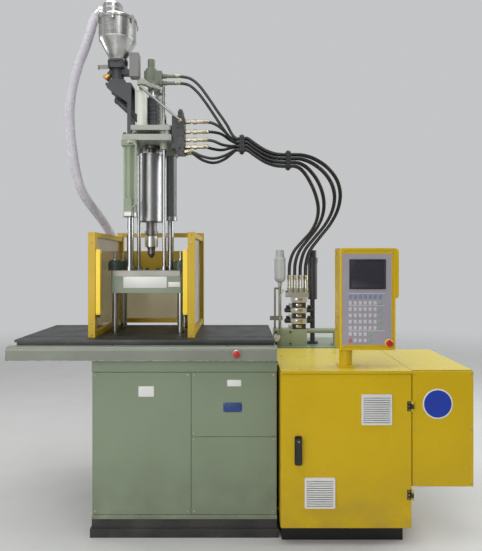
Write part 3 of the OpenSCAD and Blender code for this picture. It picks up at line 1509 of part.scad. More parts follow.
module hydraulic_pipes() color([0.60, 0.61, 0.62]) {
    x = manifold_x;
    y = manifold_y;
    top = tank_top + 417;
    // Riser of the accumulator and the gauge line beside it
    bar_z(x - 130, y - 10, tank_top + 115, top, 20);
    bar_z(x - 165, y - 10, tank_top + 115, top - 20, 14);
    bar_x(x - 165, x - 130, y - 10, top - 20, 14);
    translate([x - 165, y - 10, top - 20]) sphere(d = 14);
    box([x - 200, y - 24, tank_top + 176], [x - 112, y + 4, tank_top + 204]);
    // Return pipe to the right, with its elbow down into the tank
    bar_x(x + 55, x + 260, y, tank_top + 100, 34);
    translate([x + 260, y, tank_top + 100]) sphere(d = 34);
    bar_z(x + 260, y, tank_top, tank_top + 100, 34);
    bar_z(x + 260, y, tank_top, tank_top + 14, 60);
}

base_plinth();
base_frame();
front_covers();
side_and_rear_covers();
table_bed();
table_apron();
bed_plate();
clamp_cylinder();
guard_frame();
guard_panels();
light_curtains();
electrical_cabinet();
cabinet_devices();
side_box();
oil_tank();
return_filter();
pump_motor();
valve_stack();
accumulator();
hydraulic_pipes();
manifold_hoses();
suction_lance();
table_stop_button();
tie_bars();
tie_bar_nuts();
clamp_ram();
upper_platen();
platen_deck();
guide_and_lift_rods();
outer_hose_clamp();
loader_hose();
seat_plate();
lift_cylinders();
feed_block();
barrel();
heater_bands();
barrel_cover();
nozzle();
injection_cylinders();
valve_block();
hose_fittings();
hopper_frame();
drain_spout();
hopper();
loader_head();
inner_hose_clamp();
valve_hoses();
drive_plate();
hydraulic_motor();
motor_hoses();
screw();
cabinet_door();
door_fittings();
filter_grilles();
fan_rotor();
door_handle();
panel_box();
keypad_plate();
panel_stop_button();
hopper_gate();
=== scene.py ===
import json
import math
import bpy
import bmesh
import numpy as np
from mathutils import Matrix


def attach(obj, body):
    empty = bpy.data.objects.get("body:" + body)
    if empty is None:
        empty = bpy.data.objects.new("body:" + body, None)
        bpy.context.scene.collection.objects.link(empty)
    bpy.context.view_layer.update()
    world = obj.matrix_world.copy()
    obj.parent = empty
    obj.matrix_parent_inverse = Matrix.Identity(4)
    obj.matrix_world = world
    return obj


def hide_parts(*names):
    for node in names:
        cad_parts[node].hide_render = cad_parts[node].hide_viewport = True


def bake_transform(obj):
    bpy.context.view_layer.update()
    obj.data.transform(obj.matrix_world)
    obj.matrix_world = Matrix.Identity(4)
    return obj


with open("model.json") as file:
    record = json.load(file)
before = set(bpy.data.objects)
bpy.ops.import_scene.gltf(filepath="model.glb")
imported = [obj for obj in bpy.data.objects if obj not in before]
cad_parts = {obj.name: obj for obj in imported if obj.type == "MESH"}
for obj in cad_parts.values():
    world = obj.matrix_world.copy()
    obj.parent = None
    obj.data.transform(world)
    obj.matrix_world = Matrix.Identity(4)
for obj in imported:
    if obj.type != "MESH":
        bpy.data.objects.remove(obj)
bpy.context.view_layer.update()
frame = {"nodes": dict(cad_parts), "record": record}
nodes = frame["nodes"]
print("frame: %d nodes" % len(nodes))

# Shader nodes: small helpers that the sky, the finishes and the floor share

mixSlots = {"FLOAT": (2, 0), "RGBA": (6, 2)}


def feed(socket, value):
    # a tone, a number or another socket
    if isinstance(value, tuple):
        socket.default_value = (*value, 1)
    elif isinstance(value, (int, float)):
        socket.default_value = value
    else:
        socket.id_data.links.new(value, socket)


def addNode(near, kind):
    # a node in the tree of a socket
    return near.id_data.nodes.new(kind)


def splitPlace(place):
    split = addNode(place, "ShaderNodeSeparateXYZ")
    feed(split.inputs[0], place)
    return split.outputs


def mapRange(value, fromLow, fromHigh, toLow=0.0, toHigh=1.0, smooth=False):
    # a value carried from one range to another
    ramp = addNode(value, "ShaderNodeMapRange")
    if smooth:
        ramp.interpolation_type = "SMOOTHSTEP"
    spans = {"From Min": fromLow, "From Max": fromHigh, "To Min": toLow, "To Max": toHigh}
    for key, number in {**spans, "Value": value}.items():
        feed(ramp.inputs[key], number)
    return ramp.outputs["Result"]


def noiseRange(place, grain, low=0.0, high=1.0):
    # a noise of some scale and detail, stretched to run from one value to another
    noise = addNode(place, "ShaderNodeTexNoise")
    feed(noise.inputs["Scale"], grain[0])
    feed(noise.inputs["Detail"], grain[1])
    feed(noise.inputs["Vector"], place)
    return mapRange(noise.outputs["Fac"], 0.3, 0.7, low, high)


def joinValues(operation, first, second):
    # two values joined by a sum, a product or the like; one of them at least is a socket
    join = addNode(second if isinstance(first, float) else first, "ShaderNodeMath")
    join.operation = operation
    feed(join.inputs[0], first)
    feed(join.inputs[1], second)
    return join.outputs[0]


def mixValues(factor, first, second, kind="RGBA"):
    # one tone or number faded into another
    mix = addNode(factor, "ShaderNodeMix")
    mix.data_type = kind
    socket, out = mixSlots[kind]
    feed(mix.inputs[0], factor)
    feed(mix.inputs[socket], first)
    feed(mix.inputs[socket + 1], second)
    return mix.outputs[out]


def cloudTone(place, grain, tone, shade):
    return mixValues(noiseRange(place, grain), tone, shade)


# Camera, lamps and the room's tone

cameraView = {"place": (0.57, -3.18, 1.54), "lens": 32.67, "sensor": 36.0, "drop": -0.0281}
studio = {
    "floorReach": 14.0, "floorNear": (0.56, 0.56, 0.55), "fadeFrom": 3.2, "fadeTo": 9.5,
    "skyBehind": (0.84, 0.85, 0.86), "skyFront": (0.36, 0.37, 0.38), "skyStrength": 0.66,
    "skyFade": (-0.75, 0.55),
}
# name, place, aim, size, power, tone
lampRows = [
    ("overheadSoftbox", (-0.2, -1.2, 5.2), (0.4, 0.0, 1.0), (4.6, 3.2), 130, (1.0, 0.99, 0.97)),
    ("windowSide", (5.0, 0.6, 3.0), (0.6, 0.0, 1.3), (3.4, 2.8), 170, (0.95, 0.98, 1.0)),
    ("frontFill", (-2.0, -5.2, 2.3), (0.5, 0.0, 0.8), (4.6, 3.4), 180, (1.0, 1.0, 1.0)),
    ("rodStrip", (-4.2, 1.2, 2.6), (0.0, 0.0, 1.9), (0.7, 2.6), 40, (1.0, 1.0, 1.0)),
]


def makeCamera(view):
    data = bpy.data.cameras.new("frontCamera")
    data.lens = view["lens"]
    data.sensor_width = view["sensor"]
    data.shift_y = view["drop"]
    camera = bpy.data.objects.new("frontCamera", data)
    camera.location = view["place"]
    camera.rotation_euler = (math.radians(90), 0, 0)
    bpy.context.scene.collection.objects.link(camera)
    bpy.context.scene.camera = camera


def makeLamp(name, place, aim, size, power, tone):
    data = bpy.data.lights.new(name, "AREA")
    data.shape = "RECTANGLE"
    data.size, data.size_y = size
    data.energy = power
    data.color = tone
    lamp = bpy.data.objects.new(name, data)
    lamp.location = place
    way = np.array(aim) - np.array(place)
    yaw = math.atan2(way[1], way[0]) - math.pi / 2
    lamp.rotation_euler = (math.atan2(way[2], math.hypot(way[0], way[1])) + math.pi / 2, 0, yaw)
    bpy.context.scene.collection.objects.link(lamp)


def makeSky(room):
    # pale behind the machine and darker behind the camera, so that round steel shows bands
    world = bpy.data.worlds.new("paleRoom")
    world.use_nodes = True
    tree = world.node_tree
    way = splitPlace(tree.nodes.new("ShaderNodeTexCoord").outputs["Generated"])
    fade = mapRange(way["Y"], *room["skyFade"], smooth=True)
    background = tree.nodes["Background"]
    background.inputs["Strength"].default_value = room["skyStrength"]
    feed(background.inputs["Color"], mixValues(fade, room["skyFront"], room["skyBehind"]))
    bpy.context.scene.world = world


makeCamera(cameraView)
for lampRow in lampRows:
    makeLamp(*lampRow)
makeSky(studio)
bpy.context.scene.view_settings.view_transform = "Standard"
print("camera, lamps and sky")

# Surfaces: each shape is an array of points and a list of face blocks


def newObject(name, shapes, material, uv=None, sharp=35):
    points = np.vstack([np.asarray(p, float).reshape(-1, 3) for p, blocks in shapes])
    corners, totals, offset = [], [], 0
    for p, blocks in shapes:
        for block in blocks:
            corners.append((block + offset).ravel())
            totals.append(np.full(len(block), block.shape[1]))
        offset += np.asarray(p).reshape(-1, 3).shape[0]
    corners, totals = np.concatenate(corners), np.concatenate(totals)
    mesh = bpy.data.meshes.new(name)
    mesh.vertices.add(len(points))
    mesh.vertices.foreach_set("co", points.ravel())
    mesh.loops.add(len(corners))
    mesh.loops.foreach_set("vertex_index", corners)
    mesh.polygons.add(len(totals))
    mesh.polygons.foreach_set("loop_start", np.concatenate([[0], np.cumsum(totals)[:-1]]))
    mesh.update(calc_edges=True)
    if uv is not None:
        layer = mesh.uv_layers.new(name="alongAround")
        layer.data.foreach_set("uv", np.asarray(uv, float)[corners].ravel())
    mesh.polygons.foreach_set("use_smooth", np.ones(len(totals), bool))
    work = bmesh.new()
    work.from_mesh(mesh)
    bmesh.ops.recalc_face_normals(work, faces=work.faces)
    work.to_mesh(mesh)
    work.free()
    mesh.set_sharp_from_angle(angle=math.radians(sharp))
    mesh.materials.append(material)
    piece = bpy.data.objects.new(name, mesh)
    bpy.context.scene.collection.objects.link(piece)
    return piece


def addPiece(name, shapes, finish, body="machine_base"):
    # a piece in its finish, riding with its body
    piece = newObject(name, shapes, finishes[finish])
    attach(piece, body)
    return piece


def ringFaces(rings, sides, closed=True):
    # quads between neighbouring rings, and one flat face over each end
    i = np.arange(rings - 1)[:, None] * sides
    k = np.arange(sides)[None, :]
    n = (k + 1) % sides
    blocks = [np.stack([i + k, i + n, i + sides + n, i + sides + k], -1).reshape(-1, 4)]
    if closed:
        blocks += [np.arange(sides)[None, ::-1], (rings - 1) * sides + np.arange(sides)[None]]
    return blocks


def axisFrame(axis):
    # an axis and two directions square to it
    a = np.asarray(axis, float)
    a = a / np.linalg.norm(a)
    helper = np.array([0.0, 0.0, 1.0]) if abs(a[2]) < 0.9 else np.array([1.0, 0.0, 0.0])
    u = np.cross(helper, a)
    u /= np.linalg.norm(u)
    return a, u, np.cross(a, u)


def lathe(profile, place, axis, sides=24):
    # radius and height pairs turned round an axis; a radius may be an array with one value for each side
    a, u, v = axisFrame(axis)
    angle = np.arange(sides) * 2 * np.pi / sides
    radius = np.stack([np.broadcast_to(r, sides) for r, h in profile])
    height = np.array([h for r, h in profile], float)
    around = np.cos(angle)[:, None] * u + np.sin(angle)[:, None] * v
    points = np.asarray(place) + height[:, None, None] * a + radius[:, :, None] * around[None]
    return points.reshape(-1, 3), ringFaces(len(profile), sides)


def hexRadius(across, sides=24):
    # distance from the middle to the flat of a hexagon, by angle
    angle = np.arange(sides) * 2 * np.pi / sides
    return across / 2 / np.cos((angle % (np.pi / 3)) - np.pi / 6)


def slab(low, high, axis=1, corner=0.004, rim=0.0012, steps=3):
    # rounded rectangle drawn along an axis, its rims rounded by quarter arcs
    low, high = np.asarray(low, float), np.asarray(high, float)
    flat = [i for i in range(3) if i != axis]
    half, middle = (high - low)[flat] / 2, (high + low)[flat] / 2
    corner = min(corner, half.min() * 0.98)
    rim = min(rim, corner, (high - low)[axis] / 2)
    quarter = np.arange(4) * np.pi / 2
    turn = (quarter[:, None] + np.linspace(0, np.pi / 2, steps + 1)).ravel()
    way = np.stack([np.cos(quarter + np.pi / 4), np.sin(quarter + np.pi / 4)], -1)
    sign = np.sign(way).repeat(steps + 1, 0)
    bend = np.linspace(0, np.pi / 2, 3)
    inset = np.concatenate([rim * (1 - np.sin(bend)), rim * (1 - np.sin(bend[::-1]))])
    level = np.concatenate([low[axis] + rim * (1 - np.cos(bend)),
                            high[axis] - rim * (1 - np.cos(bend[::-1]))])
    reach = (corner - inset)[:, None, None] * np.stack([np.cos(turn), np.sin(turn)], -1)
    points = np.zeros((len(inset), len(turn), 3))
    points[:, :, flat] = middle + sign * (half - corner) + reach
    points[:, :, axis] = level[:, None]
    return points.reshape(-1, 3), ringFaces(len(inset), len(turn))


def repeat(shape, places):
    # the same shape at each place
    points, blocks = shape
    places = np.asarray(places, float).reshape(-1, 1, 3)
    offsets = np.arange(len(places))[:, None, None] * len(points)
    return ((points[None] + places).reshape(-1, 3),
            [(block[None] + offsets).reshape(-1, block.shape[1]) for block in blocks])


def grid(xs, ys, zs):
    # every place with one of each coordinate
    return [(x, y, z) for x in xs for y in ys for z in zs]


origin, front, up, down = (0, 0, 0), (0, -1, 0), (0, 0, 1), (0, 0, -1)


def socketScrew(r, axis, sides=24):
    # cap head with a hexagon socket, its foot at the origin
    h = 1.1 * r
    hexagon = hexRadius(r * 1.0, sides)
    return lathe([(r, -0.3 * r), (r, 0.88 * h), (0.93 * r, h), (0.66 * r, h), (hexagon, h),
                  (hexagon, 0.45 * h), (0.02 * r, 0.40 * h)], origin, axis, sides)


def domeScrew(r, axis, sides=16):
    # round head with a cross of two shallow cuts, its height falling towards the rim
    return lathe([(r, -0.0005), (r, 0.12 * r), (0.86 * r, 0.36 * r), (0.55 * r, 0.50 * r),
                  (0.24 * r, 0.52 * r), (0.20 * r, 0.20 * r), (0.02 * r, 0.18 * r)],
                 origin, axis, sides)


def smoothRoute(route, steps=6):
    # cubic through each pair of points with the slopes of their neighbours
    p = np.asarray(route, float)
    padded = np.vstack([2 * p[0] - p[1], p, 2 * p[-1] - p[-2]])
    t = np.linspace(0, 1, steps, endpoint=False)[:, None, None]
    a, b, c, d = padded[:-3], padded[1:-2], padded[2:-1], padded[3:]
    spans = 0.5 * (2 * b + (c - a) * t + (2 * a - 5 * b + 4 * c - d) * t ** 2
                   + (3 * b - a - 3 * c + d) * t ** 3)
    return np.vstack([spans.transpose(1, 0, 2).reshape(-1, 3), p[-1:]])


def alongRun(line):
    return np.concatenate([[0], np.cumsum(np.linalg.norm(np.diff(line, axis=0), axis=1))])


def tube(line, radius, sides=16, reference=(0, 1, 0)):
    # a circle carried along a line; the radius is one number, one for each ring, or a grid
    line = np.asarray(line, float)
    ahead = np.gradient(line, axis=0)
    ahead[0], ahead[-1] = line[1] - line[0], line[-1] - line[-2]
    ahead /= np.linalg.norm(ahead, axis=1)[:, None]
    across = np.cross(np.array(reference, float), ahead)
    across /= np.linalg.norm(across, axis=1)[:, None]
    up = np.cross(ahead, across)
    angle = np.arange(sides) * 2 * np.pi / sides
    reach = np.asarray(radius, float)
    reach = np.broadcast_to(reach[:, None] if reach.ndim == 1 else reach, (len(line), sides))
    ring = np.cos(angle)[None, :, None] * across[:, None] + np.sin(angle)[None, :, None] * up[:, None]
    points = line[:, None] + reach[:, :, None] * ring
    uv = np.stack(np.broadcast_arrays(alongRun(line)[:, None], angle[None] / (2 * np.pi)), -1)
    return (points.reshape(-1, 3), ringFaces(len(line), sides)), uv.reshape(-1, 2)


# Finishes: every surface has its own tone drift, gloss and grain, all from noises in object coordinates

noises = {
    "enamelTone": (2.1, 5), "enamelSoil": (8, 6), "enamelGloss": (13, 5), "enamelPeel": (380, 2),
    "enamelWave": (5.5, 2), "wear": (60, 5), "steelTone": (6, 6), "steelGloss": (9, 5),
    "plasticTone": (5, 5), "plasticGloss": (30, 4), "hoseTone": (12, 5), "hoseGloss": (40, 4),
    "sheetTone": (4, 5), "sheetGloss": (7, 5), "loaderTone": (9, 5), "loaderGloss": (25, 4),
    "displayGloss": (20, 4), "zoneTone": (7, 5), "zoneGloss": (18, 4), "floorTone": (2.4, 6),
    "floorGloss": (5, 5), "floorGrain": (140, 3),
}
# the second fade range is the upward facing over which the painted sheen on tops comes in
enamel = {"soilTone": (0.10, 0.09, 0.075), "soilFade": (0.09, 0.45), "paintedSheenFade": (0.8, 0.98),
          "wearReach": 1.6, "wearGain": 7.0, "coat": 0.2, "coatRough": 0.16}
screen = {
    "glass": 0.6,
    "cells": {"Scale": 60, "Mortar Size": 0.03, "Color1": (0.020, 0.018, 0.030),
              "Color2": (0.026, 0.024, 0.036), "Mortar": (0.012, 0.012, 0.018)},
}


def linear(r, g, b):
    c = np.array([r, g, b], float) / 255
    return tuple(np.where(c <= 0.04045, c / 12.92, ((c + 0.055) / 1.055) ** 2.4).tolist())


def startFinish(name):
    material = bpy.data.materials.new(name)
    material.use_nodes = True
    return material, material.node_tree.nodes.new("ShaderNodeTexCoord").outputs["Object"]


def endFinish(material, colour, gloss, normal=None, fixed=()):
    # the shader's own inputs: wired ones, and numbers that are the same all over
    sockets = material.node_tree.nodes["Principled BSDF"].inputs
    wired = {"Base Color": colour, "Roughness": gloss, "Normal": normal}
    for key, value in {**wired, **dict(fixed)}.items():
        if value is not None:
            feed(sockets[key], value)
    return material


def mapped(place, key, value):
    mapping = addNode(place, "ShaderNodeMapping")
    mapping.inputs[key].default_value = value
    feed(mapping.inputs["Vector"], place)
    return mapping.outputs["Vector"]


def edgeNormal(near, radius):
    # edges rounded in shading alone
    bevel = addNode(near, "ShaderNodeBevel")
    bevel.samples = 4
    bevel.inputs["Radius"].default_value = radius
    return bevel.outputs["Normal"]


def edgeWear(place, radius):
    # where the rounded normal turns away from the true one, broken up by a noise
    dot = addNode(place, "ShaderNodeVectorMath")
    dot.operation = "DOT_PRODUCT"
    feed(dot.inputs[0], edgeNormal(place, radius))
    feed(dot.inputs[1], addNode(place, "ShaderNodeNewGeometry").outputs["Normal"])
    bent = joinValues("SUBTRACT", 1.0, dot.outputs["Value"])
    strong = joinValues("MULTIPLY", bent, enamel["wearGain"])
    patchy = joinValues("MULTIPLY", strong, noiseRange(place, noises["wear"], -0.6, 1.3))
    return joinValues("MINIMUM", patchy, 1.0)


def bumpFrom(height, strength, distance, normal=None):
    bump = addNode(height, "ShaderNodeBump")
    feed(bump.inputs["Strength"], strength)
    feed(bump.inputs["Distance"], distance)
    feed(bump.inputs["Height"], height)
    if normal is not None:
        feed(bump.inputs["Normal"], normal)
    return bump.outputs["Normal"]


def enamelFinish(name, tone, shade, worn=None, rough=0.36, peel=0.14, soil=0.0, edge=0.0016,
                 gleam=0.5, paintedTopSheen=None):
    # sprayed enamel: drift of tone, orange peel, rubbed edges, soil that gathers near the floor, and a
    # painted sheen that pales upward faces
    material, place = startFinish(name)
    colour = cloudTone(place, noises["enamelTone"], linear(*tone), linear(*shade))
    if soil:
        low = mapRange(splitPlace(place)["Z"], *enamel["soilFade"], soil, 0.0)
        smear = joinValues("MULTIPLY", low, noiseRange(place, noises["enamelSoil"]))
        colour = mixValues(smear, colour, enamel["soilTone"])
    # painted sheen: upward faces fade to a paler tone, in place of the bright room reflected on the top
    if paintedTopSheen:
        facing = addNode(place, "ShaderNodeNewGeometry").outputs["Normal"]
        sheenOnTop = mapRange(splitPlace(facing)["Z"], *enamel["paintedSheenFade"])
        colour = mixValues(sheenOnTop, colour, linear(*paintedTopSheen))
    if worn:
        rubbed = edgeWear(place, edge * enamel["wearReach"])
        colour = mixValues(rubbed, colour, linear(*worn))
    gloss = noiseRange(place, noises["enamelGloss"], rough - 0.05, rough + 0.09)
    wave = noiseRange(place, noises["enamelWave"])
    soft = bumpFrom(wave, 0.25, 0.0012, edgeNormal(place, edge))
    normal = bumpFrom(noiseRange(place, noises["enamelPeel"]), peel, 0.0004, soft)
    return endFinish(material, colour, gloss, normal,
                     {"Specular IOR Level": gleam, "Coat Weight": enamel["coat"] * gleam,
                      "Coat Roughness": enamel["coatRough"]})


def steelFinish(name, tone, shade, rough, stretch=(1, 1, 1), lines=120, bump=0.15, drift=1.0,
                streak=None):
    # ground or drawn steel: fine lines along one direction, and darker smudges of oil
    material, place = startFinish(name)
    drawn = mapped(place, "Scale", stretch)
    cloud = (drawn, (streak, 3)) if streak else (place, noises["steelTone"])
    colour = cloudTone(*cloud, tone, shade)
    smudge = noiseRange(place, noises["steelGloss"], rough - 0.04 * drift, rough + 0.07 * drift)
    line = noiseRange(drawn, (lines, 3), -0.04 * drift, 0.05 * drift)
    fine = noiseRange(drawn, (lines, 4))
    normal = bumpFrom(fine, bump, 0.0002, edgeNormal(place, 0.001))
    return endFinish(material, colour, joinValues("ADD", smudge, line), normal, {"Metallic": 1.0})


def plasticFinish(name, tone, shade, rough=0.45, grain=900, bump=0.2):
    # moulded plastic with a fine eroded texture
    material, place = startFinish(name)
    colour = cloudTone(place, noises["plasticTone"], linear(*tone), linear(*shade))
    gloss = noiseRange(place, noises["plasticGloss"], rough - 0.05, rough + 0.08)
    fine = noiseRange(place, (grain, 2))
    normal = bumpFrom(fine, bump, 0.0002, edgeNormal(place, 0.0008))
    return endFinish(material, colour, gloss, normal)


def hoseFinish(name, tone, shade, rough, pitch, starts):
    # rubber cover over a wire braid: two crossing helices, sin(x / pitch +- starts * turn)
    material, place = startFinish(name)
    way = splitPlace(place.node.outputs["UV"])
    run = joinValues("MULTIPLY", way["X"], 2 * math.pi / pitch)
    turn = joinValues("MULTIPLY", way["Y"], 2 * math.pi * starts)
    first = joinValues("SINE", joinValues("ADD", run, turn), 0.0)
    second = joinValues("SINE", joinValues("SUBTRACT", run, turn), 0.0)
    braid = joinValues("MAXIMUM", first, second)
    colour = cloudTone(place, noises["hoseTone"], linear(*tone), linear(*shade))
    gloss = noiseRange(place, noises["hoseGloss"], rough - 0.06, rough + 0.08)
    return endFinish(material, colour, gloss, bumpFrom(braid, 0.3, 0.0004))


def clearFinish(name, kind, tone, shade, passing, bending, glossLow, glossHigh):
    # a wall that lets light through, with wipe marks in its gloss
    material, place = startFinish(name)
    colour = cloudTone(place, noises[kind + "Tone"], tone, shade)
    gloss = noiseRange(place, noises[kind + "Gloss"], glossLow, glossHigh)
    return endFinish(material, colour, gloss, None, {"Transmission Weight": passing, "IOR": bending})


def displayFinish(name):
    # dark display: a faint grid of cells behind glass
    material, place = startFinish(name)
    cells = addNode(place, "ShaderNodeTexBrick")
    cells.offset = 0.0
    for key, value in screen["cells"].items():
        feed(cells.inputs[key], value)
    feed(cells.inputs["Vector"], mapped(place, "Rotation", (math.pi / 2, 0, 0)))
    gloss = noiseRange(place, noises["displayGloss"], 0.08, 0.16)
    return endFinish(material, cells.outputs["Color"], gloss, None, {"Coat Weight": screen["glass"]})


finishes = {
    "machine_green": enamelFinish(
        "greyGreenEnamel", (122, 135, 111), (113, 126, 102), worn=(160, 164, 150), soil=0.55),
    "dark_green": enamelFinish(
        "darkGreenEnamel", (52, 68, 54), (42, 57, 44), rough=0.42, worn=(96, 104, 92)),
    "cylinder_green": enamelFinish(
        "paleGreenEnamel", (144, 157, 134), (128, 141, 118), rough=0.33, worn=(178, 184, 168)),
    # the cabinet's roof gets a painted sheen: a paler yellow on its upward faces
    "cabinet_yellow": enamelFinish(
        "cabinetYellowPowder", (200, 168, 0), (190, 158, 0), worn=(212, 182, 70), rough=0.3, peel=0.16,
        soil=0.3, gleam=0.3, paintedTopSheen=(202, 184, 74)),
    "guard_yellow": enamelFinish(
        "guardYellowPowder", (196, 164, 30), (182, 150, 24), worn=(170, 150, 90), rough=0.4, gleam=0.3),
    "curtain_yellow": enamelFinish("curtainYellow", (240, 206, 30), (230, 194, 26), rough=0.36),
    "black_metal": enamelFinish(
        "plinthBlack", (22, 23, 24), (16, 17, 18), worn=(62, 62, 60), rough=0.5, soil=0.3),
    "silver_paint": enamelFinish("silverPaint", (176, 180, 182), (160, 164, 166), rough=0.3),
    "valve_dark": enamelFinish(
        "phosphatedSteel", (46, 47, 49), (33, 34, 36), rough=0.44, peel=0.2, worn=(110, 108, 104)),
    "machined_steel": steelFinish(
        "groundSteel", (0.40, 0.40, 0.39), (0.28, 0.28, 0.27), 0.34, stretch=(1, 14, 14)),
    "bright_steel": steelFinish(
        "turnedSteel", (0.60, 0.60, 0.58), (0.46, 0.46, 0.45), 0.27, stretch=(1, 1, 12)),
    "dark_steel": steelFinish("heatDarkenedSteel", (0.20, 0.19, 0.18), (0.11, 0.10, 0.09), 0.40),
    "stainless_sheet": steelFinish(
        "polishedStainless", (0.62, 0.62, 0.61), (0.52, 0.52, 0.51), 0.16, stretch=(18, 18, 1),
        bump=0.10),
    "hard_chrome": steelFinish(
        "hardChrome", (0.34, 0.345, 0.34), (0.29, 0.295, 0.29), 0.25, stretch=(1, 1, 3), lines=30,
        bump=0.004, drift=0.2),
    "fitting_steel": steelFinish("platedFittings", (0.50, 0.46, 0.34), (0.36, 0.33, 0.24), 0.30),
    "brass_colour": steelFinish("amberBrass", (0.62, 0.34, 0.08), (0.42, 0.21, 0.05), 0.30),
    "device_grey": plasticFinish("deviceGrey", (150, 152, 154), (138, 140, 142)),
    "grille_plastic": plasticFinish("grillePlastic", (214, 214, 212), (198, 198, 196)),
    "black_plastic": plasticFinish("blackPlastic", (30, 30, 32), (22, 22, 24)),
    "red_plastic": plasticFinish("stopRed", (178, 26, 20), (158, 20, 16), rough=0.32),
    "keypad_film": plasticFinish("keypadFilm", (152, 146, 154), (142, 137, 146), rough=0.5),
    "hose_rubber": hoseFinish("hoseRubber", (30, 30, 32), (20, 20, 22), 0.30, 0.011, 2),
    "filterMat": plasticFinish(
        "filterMat", (176, 177, 178), (150, 151, 153), rough=0.8, grain=420, bump=0.6),
    "loader_plastic": clearFinish(
        "loaderPlastic", "loader", linear(208, 205, 212), linear(192, 189, 196), 0.22, 1.2, 0.22, 0.38),
    "clear_sheet": clearFinish(
        "smokedSheet", "sheet", (0.50, 0.42, 0.26), (0.45, 0.378, 0.234), 0.8, 1.25, 0.05, 0.18),
    "display": displayFinish("displayGlass"),
    "barePlate": plasticFinish("barePlate", (222, 222, 218), (206, 206, 203), rough=0.35),
    "bluePlate": plasticFinish("bluePlate", (34, 62, 118), (28, 54, 106), rough=0.35),
    "discBlue": plasticFinish("discBlue", (8, 52, 160), (6, 46, 148), rough=0.35),
    "paleKey": plasticFinish("paleKey", (188, 186, 190), (176, 174, 178), rough=0.5),
    "blueKey": plasticFinish("blueKey", (112, 130, 160), (102, 120, 150), rough=0.5),
    "greenKey": plasticFinish("greenKey", (136, 160, 138), (126, 150, 128), rough=0.5),
    "redKey": plasticFinish("redKey", (186, 96, 92), (172, 84, 80), rough=0.5),
    "oiledScrew": steelFinish("oiledScrew", (0.09, 0.09, 0.09), (0.05, 0.05, 0.05), 0.35),
    "lensDark": plasticFinish("lensDark", (44, 26, 30), (34, 20, 24), rough=0.14),
}

# Nodes with a finish of their own, and zones of them: tone, metal, gloss, low and high corners

ownFinish = {
    "valve_stack": "stackMetal", "lift_cylinders": "liftEnamel", "seat_plate": "seatEnamel",
    "hydraulic_motor": "motorEnamel", "injection_cylinders": "paleEnamel",
    "hydraulic_pipes": "pipeMetal", "hopper_frame": "castingPaint", "drive_plate": "seatEnamel",
    "bed_plate": "tableSteel", "platen_deck": "deckSteel", "barrel_cover": "coverSheet",
    "hopper": "hopperSheet", "table_apron": "apronEnamel"}
finishes.update({
    "stackMetal": enamelFinish("stackMetal", (40, 41, 43), (29, 30, 32), rough=0.42, peel=0.2),
    "liftEnamel": enamelFinish(
        "liftEnamel", (126, 138, 114), (112, 124, 101), rough=0.34, worn=(168, 172, 158)),
    "seatEnamel": enamelFinish(
        "seatEnamel", (158, 161, 153), (144, 147, 139), rough=0.32, worn=(178, 180, 172)),
    "motorEnamel": enamelFinish(
        "motorEnamel", (104, 112, 96), (90, 98, 83), rough=0.36, worn=(160, 162, 150)),
    "paleEnamel": enamelFinish(
        "paleEnamel", (205, 209, 198), (190, 195, 183), rough=0.3, worn=(214, 216, 206)),
    "apronEnamel": enamelFinish(
        "apronEnamel", (126, 131, 119), (110, 115, 104), worn=(214, 215, 206), rough=0.3, edge=0.0034),
    "tableSteel": steelFinish(
        "tableSteel", (0.09, 0.094, 0.09), (0.056, 0.06, 0.056), 0.46, stretch=(1, 14, 14)),
    "deckSteel": steelFinish(
        "deckSteel", (0.26, 0.255, 0.235), (0.20, 0.195, 0.175), 0.42, stretch=(1, 14, 14)),
    "coverSheet": steelFinish(
        "coverSheet", (0.36, 0.36, 0.355), (0.22, 0.22, 0.217), 0.33, stretch=(18, 18, 1), bump=0.1,
        streak=0.9),
    "hopperSheet": steelFinish(
        "hopperSheet", (0.72, 0.71, 0.69), (0.30, 0.295, 0.29), 0.24, stretch=(18, 18, 1), bump=0.08,
        streak=1.1),
    "pipeMetal": steelFinish("pipeMetal", (0.27, 0.27, 0.25), (0.19, 0.19, 0.175), 0.32),
    "castingPaint": enamelFinish("castingPaint", (62, 63, 65), (48, 49, 51), rough=0.46, peel=0.35),
})
frameTone = linear(192, 158, 8)
zones = {
    "keypad_film": [
        (frameTone, 0.0, 0.34, (1.10, -0.5, 1.573), (1.42, -0.4, 1.60)),
        (frameTone, 0.0, 0.34, (1.3892, -0.5, 1.0795), (1.42, -0.4, 1.573)),
        (frameTone, 0.0, 0.34, (1.10, -0.5, 1.05), (1.42, -0.4, 1.0795))],
    "cabinet_yellow": [(linear(22, 23, 24), 0.0, 0.5, (0.6, -0.6, -0.01), (1.6, 0.6, 0.0949))],
    "stackMetal": [
        (linear(142, 152, 128), 0.0, 0.38, (0.70, 0.0, 0.90), (1.20, 0.6, 1.0603)),
        ((0.50, 0.50, 0.48), 1.0, 0.34, (0.70, 0.0, 1.2822), (1.20, 0.6, 1.3164)),
        ((0.66, 0.66, 0.64), 1.0, 0.32, (0.918, 0.0, 1.0970), (1.026, 0.6, 1.1340)),
        ((0.66, 0.66, 0.64), 1.0, 0.32, (0.918, 0.0, 1.1710), (1.026, 0.6, 1.2080)),
        ((0.66, 0.66, 0.64), 1.0, 0.32, (0.918, 0.0, 1.2450), (1.026, 0.6, 1.2821)),
        ((0.60, 0.57, 0.46), 1.0, 0.30, (0.70, 0.0, 1.3164), (1.20, 0.6, 1.50))],
    "liftEnamel": [
        # painted shade: the back right cylinder, in the shade at the back, takes a darker grey
        (linear(88, 91, 87), 0.0, 0.36, (0.0, 0.0, 1.70), (0.3, 0.3, 2.2255)),
        ((0.30, 0.30, 0.295), 1.0, 0.34, (-0.3, -0.3, 1.7995), (0.3, 0.3, 1.8262))],
    "pipeMetal": [(linear(140, 150, 124), 0.0, 0.36, (1.020, 0.0, 0.90), (1.30, 0.6, 1.10))],
    "castingPaint": [(linear(122, 119, 118), 0.0, 0.42, (-0.134, -0.06, 2.690), (0.0, 0.06, 2.90))],
}


